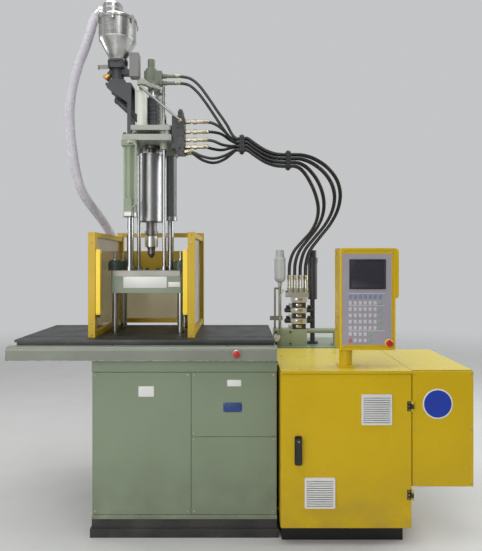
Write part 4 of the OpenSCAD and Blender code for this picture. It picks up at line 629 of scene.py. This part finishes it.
def paintZone(material, tone, metal, gloss, low, high):
    # inside a box of object coordinates the surface takes another tone, metal and gloss
    tree = material.node_tree
    place = tree.nodes.new("ShaderNodeTexCoord").outputs["Object"]
    way = splitPlace(place)
    mask = 1.0
    for axis in range(3):
        above = joinValues("GREATER_THAN", way[axis], low[axis])
        below = joinValues("LESS_THAN", way[axis], high[axis])
        mask = joinValues("MULTIPLY", joinValues("MULTIPLY", above, below), mask)
    shade = cloudTone(place, noises["zoneTone"], tone, tuple(0.86 * c for c in tone))
    own = noiseRange(place, noises["zoneGloss"], gloss - 0.04, gloss + 0.05)
    for key, value, kind in (("Base Color", shade, "RGBA"), ("Roughness", own, "FLOAT"),
                             ("Metallic", metal, "FLOAT")):
        socket = tree.nodes["Principled BSDF"].inputs[key]
        before = socket.links[0].from_socket if socket.is_linked else socket.default_value
        feed(socket, mixValues(mask, before, value, kind))


for finishName, zoneRows in zones.items():
    for zoneRow in zoneRows:
        paintZone(finishes[finishName], *zoneRow)

slotOf = {row["node"]: row["material_slot"] for row in frame["record"]["subparts"]}
for nodeName, nodeObject in nodes.items():
    if not nodeObject.material_slots:
        nodeObject.data.materials.append(None)
    for slotRow in nodeObject.material_slots:
        slotRow.material = finishes[ownFinish.get(nodeName, slotOf[nodeName])]
print("finishes")

# Hoses: the routes of the solids, in millimetres, run through metres and smoothed

hoseSet = {
    "diameter": 0.018, "clampY": -40, "innerZ": 2265, "outerZ": 2165, "manifoldY": 325,
    "clampX": (880, 905), "manifoldZ": (1430, 1402), "spread": 12, "spreadMore": 13,
    "rowZ": [36, 12, -12, -36], "columnY": [-12, 12], "arcX": [1022, 984, 946, 908],
    "bundle": [(590, 0, 0), (612, 0, 0), (660, 0, -34), (720, 0, -72), (780, 0, -94), (828, 0, -100),
               (850, 0, -100)],
    "arcY": [-36, -20, 20, 75, 135, 190, 240, 280, 308, 322],
    "arcBend": [
        [(960, 2198), (1035, 2178), (1125, 2130), (1195, 2060), (1228, 1975), (1222, 1880), (1180, 1785),
         (1110, 1690), (1048, 1600), (1024, 1510)],
        [(955, 2173), (1022, 2150), (1100, 2102), (1160, 2036), (1190, 1958), (1184, 1870), (1144, 1780),
         (1076, 1690), (1014, 1605), (988, 1515)],
        [(945, 2145), (995, 2116), (1052, 2060), (1096, 1990), (1120, 1912), (1117, 1832), (1086, 1755),
         (1032, 1680), (978, 1605), (950, 1520)],
        [(938, 2117), (976, 2083), (1020, 2024), (1058, 1955), (1082, 1880), (1079, 1806), (1046, 1732),
         (990, 1665), (938, 1598), (912, 1518)],
    ],
    "motor": [
        [(152, 0, 2708), (172, 0, 2708), (245, -2, 2694), (305, -8, 2646), (362, -18, 2568),
         (420, -28, 2480), (478, -40, 2394), (512, -48, 2330), (540, -52, 2301), (560, -52, 2301)],
        [(152, 0, 2664), (172, 0, 2664), (236, 2, 2654), (290, 6, 2612), (345, 4, 2542),
         (402, -4, 2456), (458, -14, 2370), (500, -24, 2316), (538, -28, 2301), (560, -28, 2301)],
    ],
    "valve": [
        [(336, -80, 2396), (352, -80, 2396), (400, -80, 2386), (450, -74, 2356), (498, -62, 2308),
         (538, -52, 2277), (560, -52, 2277)],
        [(336, -80, 2334), (352, -80, 2334), (400, -72, 2334), (450, -52, 2326), (498, -34, 2296),
         (538, -28, 2277), (560, -28, 2277)],
        [(336, -80, 2284), (352, -80, 2284), (400, -84, 2276), (450, -80, 2256), (498, -66, 2250),
         (538, -52, 2253), (560, -52, 2253)],
        [(336, -80, 2240), (352, -80, 2240), (400, -58, 2232), (450, -34, 2232), (498, -28, 2244),
         (538, -28, 2253), (560, -28, 2253)],
        [(250, -105, 2206), (268, -105, 2206), (330, -104, 2178), (400, -98, 2166),
         (470, -78, 2188), (535, -52, 2229), (560, -52, 2229)],
        [(250, -55, 2206), (268, -55, 2206), (330, -46, 2166), (400, -32, 2152),
         (470, -26, 2178), (535, -28, 2229), (560, -28, 2229)],
    ],
}
loaderHose = {
    "diameter": 0.060, "ribPitch": 0.012, "ribDepth": 0.0014, "platenPoint": 12,
    "steps": 40, "sides": 24, "ringsPerRib": 6, "blendIn": 0.05,
    "route": [
        (-352, 35, 3110), (-364, 35, 3098), (-381, 36, 3068), (-397, 37, 3014), (-416, 38, 2956),
        (-438, 38, 2890), (-465, 37, 2822), (-487, 32, 2744), (-503, 24, 2670), (-514, 12, 2590),
        (-520, 4, 2495), (-517, 0, 2390), (-506, 0, 2270), (-490, 0, 2160), (-472, 4, 2065),
        (-448, 20, 1980), (-412, 65, 1905), (-382, 140, 1845), (-362, 240, 1785), (-350, 340, 1725),
        (-342, 425, 1650), (-334, 465, 1570), (-330, 470, 1505), (-330, 470, 1482),
    ],
}


def hoseLines(info):
    # every hydraulic hose's line, by kind
    lines = {"motor": [np.array(r, float) for r in info["motor"]],
             "valve": [np.array(r, float) for r in info["valve"]], "bundle": [], "arc": []}
    for y in info["columnY"]:
        for z in info["rowZ"]:
            offset = [0, info["clampY"] + y, info["innerZ"] + z]
            lines["bundle"].append(np.array(info["bundle"], float) + offset)
    for row, bend in enumerate(info["arcBend"]):
        start = [(x, info["clampY"], info["outerZ"] + info["rowZ"][row]) for x in info["clampX"]]
        end = [(info["arcX"][row], info["manifoldY"], z) for z in info["manifoldZ"]]
        middle = [(x, y, z) for (x, z), y in zip(bend, info["arcY"])]
        route = np.array(start + middle + end, float)
        # the two hoses of a row spread from the clamp to their fittings
        share = np.clip((np.arange(len(route)) - 1) / (len(route) - 3), 0, 1)
        spread = info["spread"] + info["spreadMore"] * share
        for side in (-1, 1):
            lines["arc"].append(route + np.stack([0 * spread, side * spread, 0 * spread], -1))
    return {kind: [smoothRoute(line / 1000) for line in rows] for kind, rows in lines.items()}


def makeHoses(info):
    stretches = {
        "motor": ("motor_hoses", "drive", "carriage", (0.20, 0, 2.68), (0.52, -0.04, 2.32)),
        "valve": ("valve_hoses", "carriage", None, None, None),
        "bundle": ("valve_hoses", "carriage", "platen", (0.62, 0, 2.2), (0.82, 0, 2.2)),
        "arc": ("manifold_hoses", "platen", "machine_base", (1.0, 0.1, 2.10), (1.0, 0.1, 1.50)),
    }
    lines = hoseLines(info)
    for kind, rows in lines.items():
        node, first, second, start, end = stretches[kind]
        for index, line in enumerate(rows):
            shape, uv = tube(line, info["diameter"] / 2)
            piece = newObject("%sHose%d" % (kind, index), [shape], finishes["hose_rubber"], uv)
            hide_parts(node)
            if second:
                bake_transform(piece)
            else:
                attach(piece, first)
    return lines


def makeLoaderHose(info):
    # round tube whose radius follows a helix, so that a rib winds along it
    route = smoothRoute(np.array(info["route"]) / 1000, info["steps"])
    split = info["platenPoint"] * info["steps"]
    sides = info["sides"]
    angle = np.arange(sides) * 2 * np.pi / sides
    for name, line, bodies in (("loaderHoseUpper", route[:split + 1], ("carriage", "platen")),
                               ("loaderHoseLower", route[split:], ("platen", "machine_base"))):
        run = alongRun(line)
        even = np.linspace(0, run[-1], int(run[-1] / (info["ribPitch"] / info["ringsPerRib"])))
        line = np.stack([np.interp(even, run, line[:, i]) for i in range(3)], -1)
        wave = np.cos(even[:, None] * 2 * np.pi / info["ribPitch"] - angle[None])
        radius = info["diameter"] / 2 - info["ribDepth"] * (1 - np.clip(wave, -0.4, 0.8)) / 1.4
        radius[[0, -1]] = info["diameter"] / 2 - info["ribDepth"]
        shape, uv = tube(line, radius, sides)
        piece = newObject(name, [shape], finishes["loader_plastic"], uv)
        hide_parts("loader_hose")
        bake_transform(piece)


ferrule = {"wall": 0.0042, "grooves": 8, "cut": 0.0012, "first": 0.004, "step": 0.0032}


def ferrules(lines, radius, far):
    # crimped collars on hose ends: a sleeve with pressed grooves
    shapes = []
    f = ferrule
    groove = [(radius + f["wall"] - f["cut"] * (k % 2), f["first"] + f["step"] * k)
              for k in range(f["grooves"])]
    for line in lines:
        end, inner = (line[-1], line[-4]) if far else (line[0], line[3])
        shapes.append(lathe([(radius + 0.001, -0.002), (radius + f["wall"], 0.001), *groove,
                             (radius + 0.0034, 0.031), (radius + 0.0004, 0.034)], end, inner - end, 20))
    return shapes


hoseRuns = makeHoses(hoseSet)
makeLoaderHose(loaderHose)
hoseRadius = hoseSet["diameter"] / 2
addPiece("motorFerrules", ferrules(hoseRuns["motor"], hoseRadius, False), "fitting_steel", "drive")
addPiece("valveFerrules", ferrules(hoseRuns["valve"], hoseRadius, False), "fitting_steel", "carriage")
addPiece("manifoldFerrules", ferrules(hoseRuns["arc"], hoseRadius, True), "fitting_steel")
print("hoses")

# Operator panel

panel = {
    "left": 1.108, "right": 1.413, "front": -0.4605, "screen": ((1.168, 1.390), (1.348, 1.535)),
    "lip": 0.009, "keyStep": 0.027, "keyRow": 0.034, "keyLeft": 1.1645, "keyLow": 1.1025,
    "key": (0.018, 0.022), "keyRows": 8, "keyColumns": 7, "rules": (1.1535, 1.2905, 1.3575),
    "boltIn": 0.020, "boltZ": (1.0715, 1.5835), "bolt": 0.0045, "coverX": (-0.015, 0.0195),
    "coverY": (0.0085, 0.088), "coverZ": (1.330, 1.6035),
}


def makePanel(p):
    (x0, z0), (x1, z1) = p["screen"]
    y = p["front"]
    lip = p["lip"]
    frameParts = [slab((x0 - lip, y - 0.0035, z0 - lip), (x0, y + 0.001, z1 + lip)),
                  slab((x1, y - 0.0035, z0 - lip), (x1 + lip, y + 0.001, z1 + lip)),
                  slab((x0 - 0.001, y - 0.0034, z1), (x1 + 0.001, y + 0.001, z1 + lip)),
                  slab((x0 - 0.001, y - 0.0034, z0 - lip), (x1 + 0.001, y + 0.001, z0))]
    addPiece("screenFrame", frameParts, "black_plastic", "operator_panel")
    glass = slab((x0 - 0.001, y - 0.0012, z0 - 0.001), (x1 + 0.001, y + 0.001, z1 + 0.001))
    addPiece("screenGlass", [glass], "display", "operator_panel")
    w, h = p["key"]
    groups = {"paleKey": [], "blueKey": [], "greenKey": [], "redKey": []}
    for row in range(p["keyRows"]):
        for column in range(p["keyColumns"]):
            if row < 2 and column > 4:
                continue
            tint = "paleKey"
            if row == 7:
                tint = "blueKey"
            elif column == 6 or (row < 2 and column == 4):
                tint = "greenKey"
            elif row == 0 and column == 0:
                tint = "redKey"
            x, z = p["keyLeft"] + column * p["keyStep"], p["keyLow"] + row * p["keyRow"]
            groups[tint].append((x, 0, z))
    cap = slab((-w / 2 + 0.001, y - 0.0008, -h / 2 + 0.001), (w / 2 - 0.001, y + 0.0002, h / 2 - 0.001),
               corner=0.0025, rim=0.0004)
    for tint, places in groups.items():
        addPiece(tint + "s", [repeat(cap, places)], tint, "operator_panel")
    # thin pale lines that part the groups of keys
    rules = [slab((x0 - 0.012, y - 0.0004, z), (x1 + 0.004, y + 0.0003, z + 0.0022), corner=0.0008)
             for z in p["rules"]]
    addPiece("keypadRules", rules, "barePlate", "operator_panel")
    bolts = grid((p["left"] + p["boltIn"], p["right"] - p["boltIn"]), (y - 0.0002,), p["boltZ"])
    screws = repeat(domeScrew(p["bolt"], front), bolts)
    addPiece("panelScrews", [screws], "bright_steel", "operator_panel")
    # cover strip over the cable entry, on the upper right side of the box
    low, high = ((p["right"] + p["coverX"][i], y + p["coverY"][i], p["coverZ"][i]) for i in (0, 1))
    cover = slab(low, high, corner=0.017, rim=0.003)
    addPiece("panelSideCover", [cover], "cabinet_yellow", "operator_panel")


makePanel(panel)
print("operator panel")

# Bare plates, the disc and the collars of the stop buttons

plates = {
    "coverPlates": ("barePlate", "machine_base",
                    [((0.000, 0.780), (0.086, 0.838)), ((0.493, 0.838), (0.571, 0.874))], -0.4000),
    "bluePlateLow": ("bluePlate", "machine_base", [((0.471, 0.694), (0.576, 0.748))], -0.4000),
    "platenPlates": ("barePlate", "platen",
                     [((-0.137, 1.372), (0.1235, 1.440)), ((0.133, 1.378), (0.205, 1.408))], -0.1750),
}


def makePlates(rows):
    for name, (finish, body, boxes, y) in rows.items():
        shapes, rivets = [], []
        for (x0, z0), (x1, z1) in boxes:
            shapes.append(slab((x0, y - 0.0012, z0), (x1, y + 0.0004, z1), corner=0.003, rim=0.0005))
            rivets += grid((x0 + 0.005, x1 - 0.005), (y - 0.0012,), (z0 + 0.005, z1 - 0.005))
        addPiece(name, shapes, finish, body)
        heads = repeat(domeScrew(0.002, front, 12), rivets)
        addPiece(name + "Rivets", [heads], "bright_steel", body)


disc = {
    "place": (1.630, -0.486, 0.765),
    "rim": [(0.081, -0.0004), (0.081, 0.0008), (0.080, 0.0012), (0.074, 0.0012)],
    "face": [(0.074, 0.0), (0.074, 0.0016), (0.04, 0.0018), (0.001, 0.0018)],
}
collar = {
    "ring": [(0.0185, -0.0006), (0.0215, 0.0), (0.0215, 0.0045), (0.0195, 0.0062), (0.0118, 0.0062)],
    "table": (0.545, -0.460, 1.029), "panel": (1.3745, -0.4597, 1.0885),
}


def makeDisc(d):
    for name, part, finish in (("discRim", "rim", "barePlate"), ("discFace", "face", "discBlue")):
        addPiece(name, [lathe(d[part], d["place"], front, 64)], finish)


def makeCollars(c):
    ring = lathe(c["ring"], origin, front, 32)
    addPiece("tableButtonCollar", [repeat(ring, [c["table"]])], "bright_steel")
    addPiece("panelButtonCollar", [repeat(ring, [c["panel"]])], "curtain_yellow", "operator_panel")


makePlates(plates)
makeDisc(disc)
makeCollars(collar)
print("plates and disc")

# Screws on the plates, the covers, the boxes and the hinges: kind, size, axis, body and places

around = ((0.031, 0.014), (-0.031, 0.014), (0.031, -0.031), (-0.031, -0.031))
screwRows = {
    "deckScrews": ("socket", 0.011, up, "platen",
                   [(-0.055, 0.150, 1.4762), (0.015, 0.152, 1.4762), (-0.192, 0.0, 1.4762),
                    (0.192, 0.0, 1.4762)]),
    "seatScrews": ("socket", 0.010, up, "carriage",
                   [(side * (0.102 + dx), side * (0.145 + dy), 2.2982)
                    for side in (-1, 1) for dx, dy in around]),
    "bridgeScrews": ("socket", 0.008, up, "carriage",
                     [(side * 0.040 + dx, side * 0.090, 2.3652)
                      for side in (-1, 1) for dx in (0.044, -0.044)]),
    "driveScrews": ("socket", 0.0055, down, "drive",
                    [(0.046 * math.cos(a), 0.046 * math.sin(a), 2.6188)
                     for a in (0.35, 1.92, 3.49, 5.06)]),
    "valveScrews": ("socket", 0.006, front, "carriage",
                    grid((0.181, 0.215), (-0.1302,), (2.206, 2.300, 2.352))),
    "throatScrews": ("socket", 0.006, front, "carriage",
                     grid((-0.253, -0.173), (-0.0542,), (2.754, 2.781))),
    "stackScrews": ("socket", 0.006, up, "machine_base",
                    grid((0.890, 1.032), (0.291, 0.365), (1.3162,))),
    "manifoldScrews": ("socket", 0.007, front, "machine_base",
                       grid((0.812, 0.912), (0.2778,), (0.962, 1.042))),
    "coverScrews": ("dome", 0.0055, front, "machine_base",
                    grid((-0.241, 0.276), (-0.4002,), (0.142, 0.900))
                    + grid((0.310, 0.752), (-0.4002,), (0.142, 0.540))
                    + grid((0.310, 0.752), (-0.4002,), (0.575, 0.900))),
    "sideBoxScrews": ("dome", 0.0045, front, "machine_base",
                      grid((1.505, 1.809), (-0.4862,), (0.336, 0.630, 0.926))),
    "hingeScrews": ("dome", 0.0035, front, "door",
                    grid((1.4735,), (-0.4932,), (0.735, 0.754, 0.773, 0.258, 0.277, 0.296))),
    "guardScrews": ("dome", 0.0055, front, "machine_base",
                    grid((-0.285, 0.285), (-0.3202,), (1.112, 1.180, 1.640, 1.688))),
}


def makeScrews(rows):
    makers = {"socket": socketScrew, "dome": domeScrew}
    tones = {"socket": "oiledScrew", "dome": "fitting_steel"}
    for name, (kind, size, axis, body, places) in rows.items():
        addPiece(name, [repeat(makers[kind](size, axis), places)], tones[kind], body)


makeScrews(screwRows)
print("screws")

# Light curtains: dark lenses in their grooves, and a cable gland under each

curtain = {
    "face": 0.236, "middle": 0.2505, "y": -0.300, "low": 1.2498, "high": 1.5772, "width": 0.013,
    "lensFrom": 0.0004, "lensTo": 0.0018,
    "gland": [(0.0075, 0.0), (0.0075, 0.004), (hexRadius(0.013), 0.0042), (hexRadius(0.013), 0.010),
              (0.0055, 0.013), (0.0055, 0.018), (0.001, 0.019)], "glandZ": 1.2262,
}


def makeCurtainLenses(c):
    shapes = []
    for side in (-1, 1):
        near, far = side * (c["face"] + c["lensFrom"]), side * (c["face"] + c["lensTo"])
        low, high = min(near, far), max(near, far)
        shapes.append(slab((low, c["y"] - c["width"] / 2, c["low"]),
                           (high, c["y"] + c["width"] / 2, c["high"]), axis=0, corner=0.001, rim=0.0003))
    addPiece("curtainLenses", shapes, "lensDark")
    gland = lathe(c["gland"], origin, down)
    places = grid((-c["middle"], c["middle"]), (c["y"],), (c["glandZ"],))
    addPiece("curtainGlands", [repeat(gland, places)], "black_plastic")


# Valve stack on the tank: plates on the valves, plugs on the solenoids, adjusting knobs and a gauge

ridged = 0.0105 + 0.0006 * np.cos(np.arange(36) * 2 * np.pi / 3)
stack = {
    "x": 0.972, "y": 0.328, "low": 1.060, "rows": 6, "row": 0.037,
    "plateFace": (-0.038, -0.045), "plateHalf": ((0.019, 0.0085), (0.024, 0.0115)),
    "knobX": -0.043, "knobY": -0.012, "solenoidZ": (1.115, 1.189),
    "solenoidX": (-0.072, 0.078), "plug": ((-0.014, -0.014, 0.0165), (0.014, 0.014, 0.0335)),
    "knob": [(0.006, -0.001), (0.006, 0.010), (ridged, 0.011), (ridged, 0.026), (0.009, 0.0275),
             (0.001, 0.0275)],
    "nut": [(0.0065, -0.001), (hexRadius(0.0125), 0.0), (hexRadius(0.0125), 0.006),
            (0.0052, 0.009), (0.0042, 0.010), (0.001, 0.010)],
    "gauge": (0.8155, 0.2775, 1.005),
    "gaugeCase": [(0.012, -0.002), (0.012, 0.006), (0.0245, 0.008), (0.0255, 0.012), (0.0255, 0.021),
                  (0.0235, 0.0235), (0.0225, 0.0215), (0.001, 0.0215)],
    "gaugeFace": [(0.0222, 0.0212), (0.0222, 0.0218), (0.001, 0.0218)],
    "ticks": 11, "tickTurn": 130, "handTurn": -1.9,
}


def makeStack(s):
    plates, knobs = [], []
    for i in range(s["rows"]):
        # valve blocks and the plates between them take turns
        z = s["low"] + (i + 0.5) * s["row"]
        face = s["y"] + s["plateFace"][i % 2]
        width, height = s["plateHalf"][i % 2]
        plates.append(slab((s["x"] - width, face - 0.001, z - height),
                           (s["x"] + width, face + 0.001, z + height), corner=0.0015, rim=0.0004))
        if not i % 2:
            knobs.append((s["x"] + s["knobX"], s["y"] + s["knobY"], z))
    addPiece("valvePlates", plates, "stainless_sheet")
    knob = lathe(s["knob"], origin, (-1, 0, 0), 36)
    addPiece("valveKnobs", [repeat(knob, knobs)], "bright_steel")
    coils = [np.array([s["x"] + dx, s["y"], z]) for z in s["solenoidZ"] for dx in s["solenoidX"]]
    low, high = s["plug"]
    plug = [slab(coil + low, coil + high, axis=2, corner=0.003, rim=0.0015) for coil in coils]
    addPiece("coilPlugs", plug, "black_plastic")
    nut = lathe(s["nut"], origin, front)
    glands = [coil + (0, -0.0135, 0.025) for coil in coils]
    addPiece("coilGlands", [repeat(nut, glands)], "black_plastic")
    centre = s["gauge"]
    for name, finish in (("gaugeCase", "bright_steel"), ("gaugeFace", "barePlate")):
        addPiece(name, [lathe(s[name], centre, front, 40)], finish)
    # marks round the dial: turn, inner and outer reach, half width and lift
    turns = np.radians(np.linspace(-s["tickTurn"], s["tickTurn"], s["ticks"]))
    marks = [(turn, (0.0150, 0.0195), 0.0005, 0.0219) for turn in turns]
    marks.append((s["handTurn"], (-0.005, 0.016), 0.0007, 0.0222))
    ticks = []
    for turn, reach, radius, lift in marks:
        way = np.array([math.sin(turn), 0, math.cos(turn)])
        line = np.array(centre) + [0, -lift, 0] + np.array(reach)[:, None] * way
        ticks.append(tube(line, radius, 6)[0])
    addPiece("gaugeMarks", ticks, "black_plastic")


makeCurtainLenses(curtain)
makeStack(stack)
print("curtains and valve stack")

# Steel pipes with their nuts: finish, body, radius, nut and route in metres

pipes = {
    "slantedPipe": ("pipeMetal", "carriage", 0.0075, 0.024,
                    [(-0.040, -0.121, 2.590), (-0.040, -0.140, 2.590), (-0.034, -0.149, 2.586),
                     (-0.018, -0.151, 2.573), (0.176, -0.153, 2.408), (0.191, -0.151, 2.395),
                     (0.198, -0.142, 2.390), (0.198, -0.126, 2.390)]),
    "liftPipe": ("cylinder_green", "carriage", 0.006, 0.019,
                 [(-0.102, -0.183, 2.243), (-0.096, -0.199, 2.243), (-0.076, -0.203, 2.241),
                  (-0.058, -0.203, 2.226), (-0.055, -0.203, 2.200), (-0.055, -0.203, 1.900),
                  (-0.057, -0.203, 1.872), (-0.072, -0.203, 1.858), (-0.094, -0.202, 1.856),
                  (-0.102, -0.196, 1.856)]),
    "gaugeLine": ("fitting_steel", "machine_base", 0.004, 0.014,
                  [(0.860, 0.281, 1.330), (0.858, 0.262, 1.326), (0.842, 0.254, 1.300),
                   (0.838, 0.252, 1.250), (0.838, 0.252, 1.100), (0.838, 0.254, 1.070),
                   (0.840, 0.266, 1.040), (0.840, 0.281, 1.034)]),
}


def makePipes(rows):
    for name, (finish, body, radius, nut, route) in rows.items():
        line = smoothRoute(route, 8)
        shape, uv = tube(line, radius, 20, reference=(0.02, 1, 0.05))
        piece = newObject(name, [shape], finishes[finish], uv)
        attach(piece, body)
        wide = hexRadius(nut)
        ring = [(nut * 0.42, -0.004), (wide, -0.003), (wide, nut * 0.55), (nut * 0.44, nut * 0.6),
                (radius + 0.0012, nut * 0.95), (radius + 0.0002, nut * 0.98)]
        ends = [lathe(ring, line[a], line[b] - line[a]) for a, b in ((0, 3), (-1, -4))]
        addPiece(name + "Nuts", ends, "fitting_steel", body)


makePipes(pipes)
print("pipes")

# Hopper: glass in its sight window, levers of the clamp ring, and a band round the loader head

hopperInfo = {
    "axis": (-0.213, 0.0), "radius": 0.115, "coneTop": 2.925, "top": 3.054, "turn": -58,
    "glass": ((-0.0108, -0.0024, 0.0072), (0.0108, -0.0012, 0.0908)), "glassUp": 0.014,
    "stud": 0.0022, "studX": (-0.0145, 0.0145), "studY": -0.0031, "studZ": (0.006, 0.049, 0.092),
    "lever": ((-0.0065, -0.0165, -0.030), (0.0065, -0.0118, 0.004)),
    "hook": ((-0.0022, -0.0140, -0.004), (0.0022, -0.0122, 0.0105)),
    "pin": [(0.0026, -0.009), (0.0026, 0.009)], "pinPlace": (0, -0.0145, -0.004),
    "band": [(0.0635, 0.0), (0.0652, 0.0008), (0.0652, 0.0122), (0.0635, 0.013)],
    "bandPlace": (-0.245, 0.0, 3.116), "seamUp": 0.001,
    "seam": [(0.1152, -0.0018), (0.1159, -0.0009), (0.1161, 0.0), (0.1159, 0.0009), (0.1152, 0.0018)],
}


def turned(shape, degrees, centre):
    # a shape turned about an upright axis
    points, blocks = shape
    a = math.radians(degrees)
    x, y = points[:, 0] - centre[0], points[:, 1] - centre[1]
    spun = np.stack([centre[0] + x * math.cos(a) - y * math.sin(a),
                     centre[1] + x * math.sin(a) + y * math.cos(a), points[:, 2]], -1)
    return spun, blocks


def makeHopperDetail(h):
    x, y = axis = h["axis"]
    sill = np.array([x, y - h["radius"], h["coneTop"] + h["glassUp"]])
    brim = np.array([x, y - h["radius"], h["top"]])
    low, high = h["glass"]
    glass = slab(sill + low, sill + high, corner=0.001, rim=0.0003)
    addPiece("hopperGlass", [turned(glass, h["turn"], axis)], "clear_sheet", "carriage")
    spots = [sill + spot for spot in grid(h["studX"], (h["studY"],), h["studZ"])]
    studs = repeat(domeScrew(h["stud"], front, 12), spots)
    addPiece("hopperGlassScrews", [turned(studs, h["turn"], axis)], "bright_steel", "carriage")
    (low, high), (hookLow, hookHigh) = h["lever"], h["hook"]
    lever = slab(brim + low, brim + high, corner=0.003, rim=0.001)
    hook = slab(brim + hookLow, brim + hookHigh, corner=0.001, rim=0.0005)
    pin = lathe(h["pin"], brim + h["pinPlace"], (1, 0, 0), 16)
    turns = (0, 120, 240)
    clips = [turned(shape, degrees, axis) for degrees in turns for shape in (lever, hook)]
    addPiece("hopperClips", clips, "bright_steel", "carriage")
    pins = [turned(pin, degrees, axis) for degrees in turns]
    addPiece("hopperClipPins", pins, "fitting_steel", "carriage")
    addPiece("loaderBand", [lathe(h["band"], h["bandPlace"], up, 72)], "bright_steel", "carriage")
    seam = lathe(h["seam"], (x, y, h["coneTop"] + h["seamUp"]), up, 96)
    addPiece("hopperSeam", [seam], "stainless_sheet", "carriage")


makeHopperDetail(hopperInfo)
print("hopper detail")

# Cabinet: filter mats, a lock cylinder in the handle, a door seal and the faces of the devices

cabinet = {"left": 0.784, "right": 1.490, "low": 0.100, "top": 0.945, "door": -0.490, "seal": -0.4734,
           "filters": ((1.299, 0.736), (0.994, 0.288)), "spindle": (0.878, 0.571),
           "matRing": [(0.062, 0.0), (0.062, 0.004), (0.03, 0.0046), (0.001, 0.0046)],
           "lockRing": [(0.0064, -0.003), (0.0064, 0.0012), (0.0056, 0.0020), (0.0034, 0.0020),
                        (0.0030, -0.001), (0.0005, -0.001)],
           "sealWidth": 0.012, "sealDeep": 0.0004, "sealIn": 0.006, "sealTopIn": 0.022,
           "lever": ((-0.004, 0.0955, -0.009), (0.004, 0.1040, 0.009)), "leverAt": (0.888, 0.5375),
           "breakers": 12, "breakerStep": 0.044,
           "coil": ((-0.017, 0.0868, -0.017), (0.017, 0.0890, 0.017)), "coilAt": (0.899, 0.320),
           "contactors": 8, "contactorStep": 0.062,
           "display": ((0.944, 0.0068, 0.708), (1.024, 0.0090, 0.758)),
           "terminal": ((-0.0026, 0.1010, -0.0085), (0.0026, 0.1040, 0.0085)), "terminalFrom": 0.874,
           "terminalSides": (0.006, 0.022), "terminalRows": (0.508, 0.567)}


def makeCabinetDetail(c):
    mats = [lathe(c["matRing"], (x, c["door"] + 0.0095, z), front, 48) for x, z in c["filters"]]
    addPiece("filterMats", mats, "filterMat", "door")
    x, z = c["spindle"]
    lock = lathe(c["lockRing"], (x, c["door"] - 0.0270, z), front, 28)
    addPiece("lockCylinder", [lock], "bright_steel", "handle")
    y0, y1 = c["seal"], c["seal"] + c["sealDeep"]
    x0, x1 = c["left"] + c["sealIn"], c["right"] - c["sealIn"]
    z0, z1 = c["low"] + c["sealIn"], c["top"] - c["sealTopIn"]
    w = c["sealWidth"]
    seal = [slab((x0, y0, z0), (x0 + w, y1, z1), corner=0.003, rim=0.0001),
            slab((x1 - w, y0, z0), (x1, y1, z1), corner=0.003, rim=0.0001),
            slab((x0 + w, y0, z1 - w), (x1 - w, y1, z1), corner=0.001, rim=0.0001),
            slab((x0 + w, y0, z0), (x1 - w, y1, z0 + w), corner=0.001, rim=0.0001)]
    addPiece("doorSeal", seal, "black_plastic")
    # faces of the devices: levers of the breakers, coil plates of the contactors, the drive's display
    x, z = c["leverAt"]
    levers = repeat(slab(*c["lever"], corner=0.0015, rim=0.001),
                    [(x + i * c["breakerStep"], 0, z) for i in range(c["breakers"])])
    addPiece("breakerLevers", [levers], "black_plastic")
    x, z = c["coilAt"]
    coils = repeat(slab(*c["coil"], corner=0.002, rim=0.0008),
                   [(x + i * c["contactorStep"], 0, z) for i in range(c["contactors"])])
    addPiece("contactorPlates", [coils], "grille_plastic")
    display = slab(*c["display"], corner=0.003, rim=0.0008)
    addPiece("driveDisplay", [display], "black_plastic")
    spots = [(c["terminalFrom"] + i * c["breakerStep"] + dx, 0, z)
             for i in range(c["breakers"]) for dx in c["terminalSides"] for z in c["terminalRows"]]
    clamps = repeat(slab(*c["terminal"], corner=0.001, rim=0.0006), spots)
    addPiece("breakerTerminals", [clamps], "fitting_steel")


makeCabinetDetail(cabinet)
print("cabinet detail")

# Floor: pale concrete that fades out with distance, so that no edge shows


def makeFloor(room):
    material, place = startFinish("paleFloor")
    tone = room["floorNear"]
    colour = cloudTone(place, noises["floorTone"], tone, tuple(0.95 * c for c in tone))
    gloss = noiseRange(place, noises["floorGloss"], 0.42, 0.58)
    grain = noiseRange(place, noises["floorGrain"])
    endFinish(material, colour, gloss, bumpFrom(grain, 0.08, 0.0006))
    nodeSet = material.node_tree.nodes
    away = nodeSet.new("ShaderNodeVectorMath")
    away.operation = "LENGTH"
    feed(away.inputs[0], place)
    fade = mapRange(away.outputs["Value"], room["fadeFrom"], room["fadeTo"], smooth=True)
    clear = nodeSet.new("ShaderNodeBsdfTransparent").outputs[0]
    mix = nodeSet.new("ShaderNodeMixShader")
    for socket, source in zip(mix.inputs, (fade, nodeSet["Principled BSDF"].outputs[0], clear)):
        feed(socket, source)
    feed(nodeSet["Material Output"].inputs["Surface"], mix.outputs[0])
    r = room["floorReach"]
    corners = np.array([(-r, -r, 0), (r, -r, 0), (r, r, 0), (-r, r, 0)], float)
    floor = newObject("floor", [(corners, [np.array([[0, 1, 2, 3]])])], material)


makeFloor(studio)
print("floor")
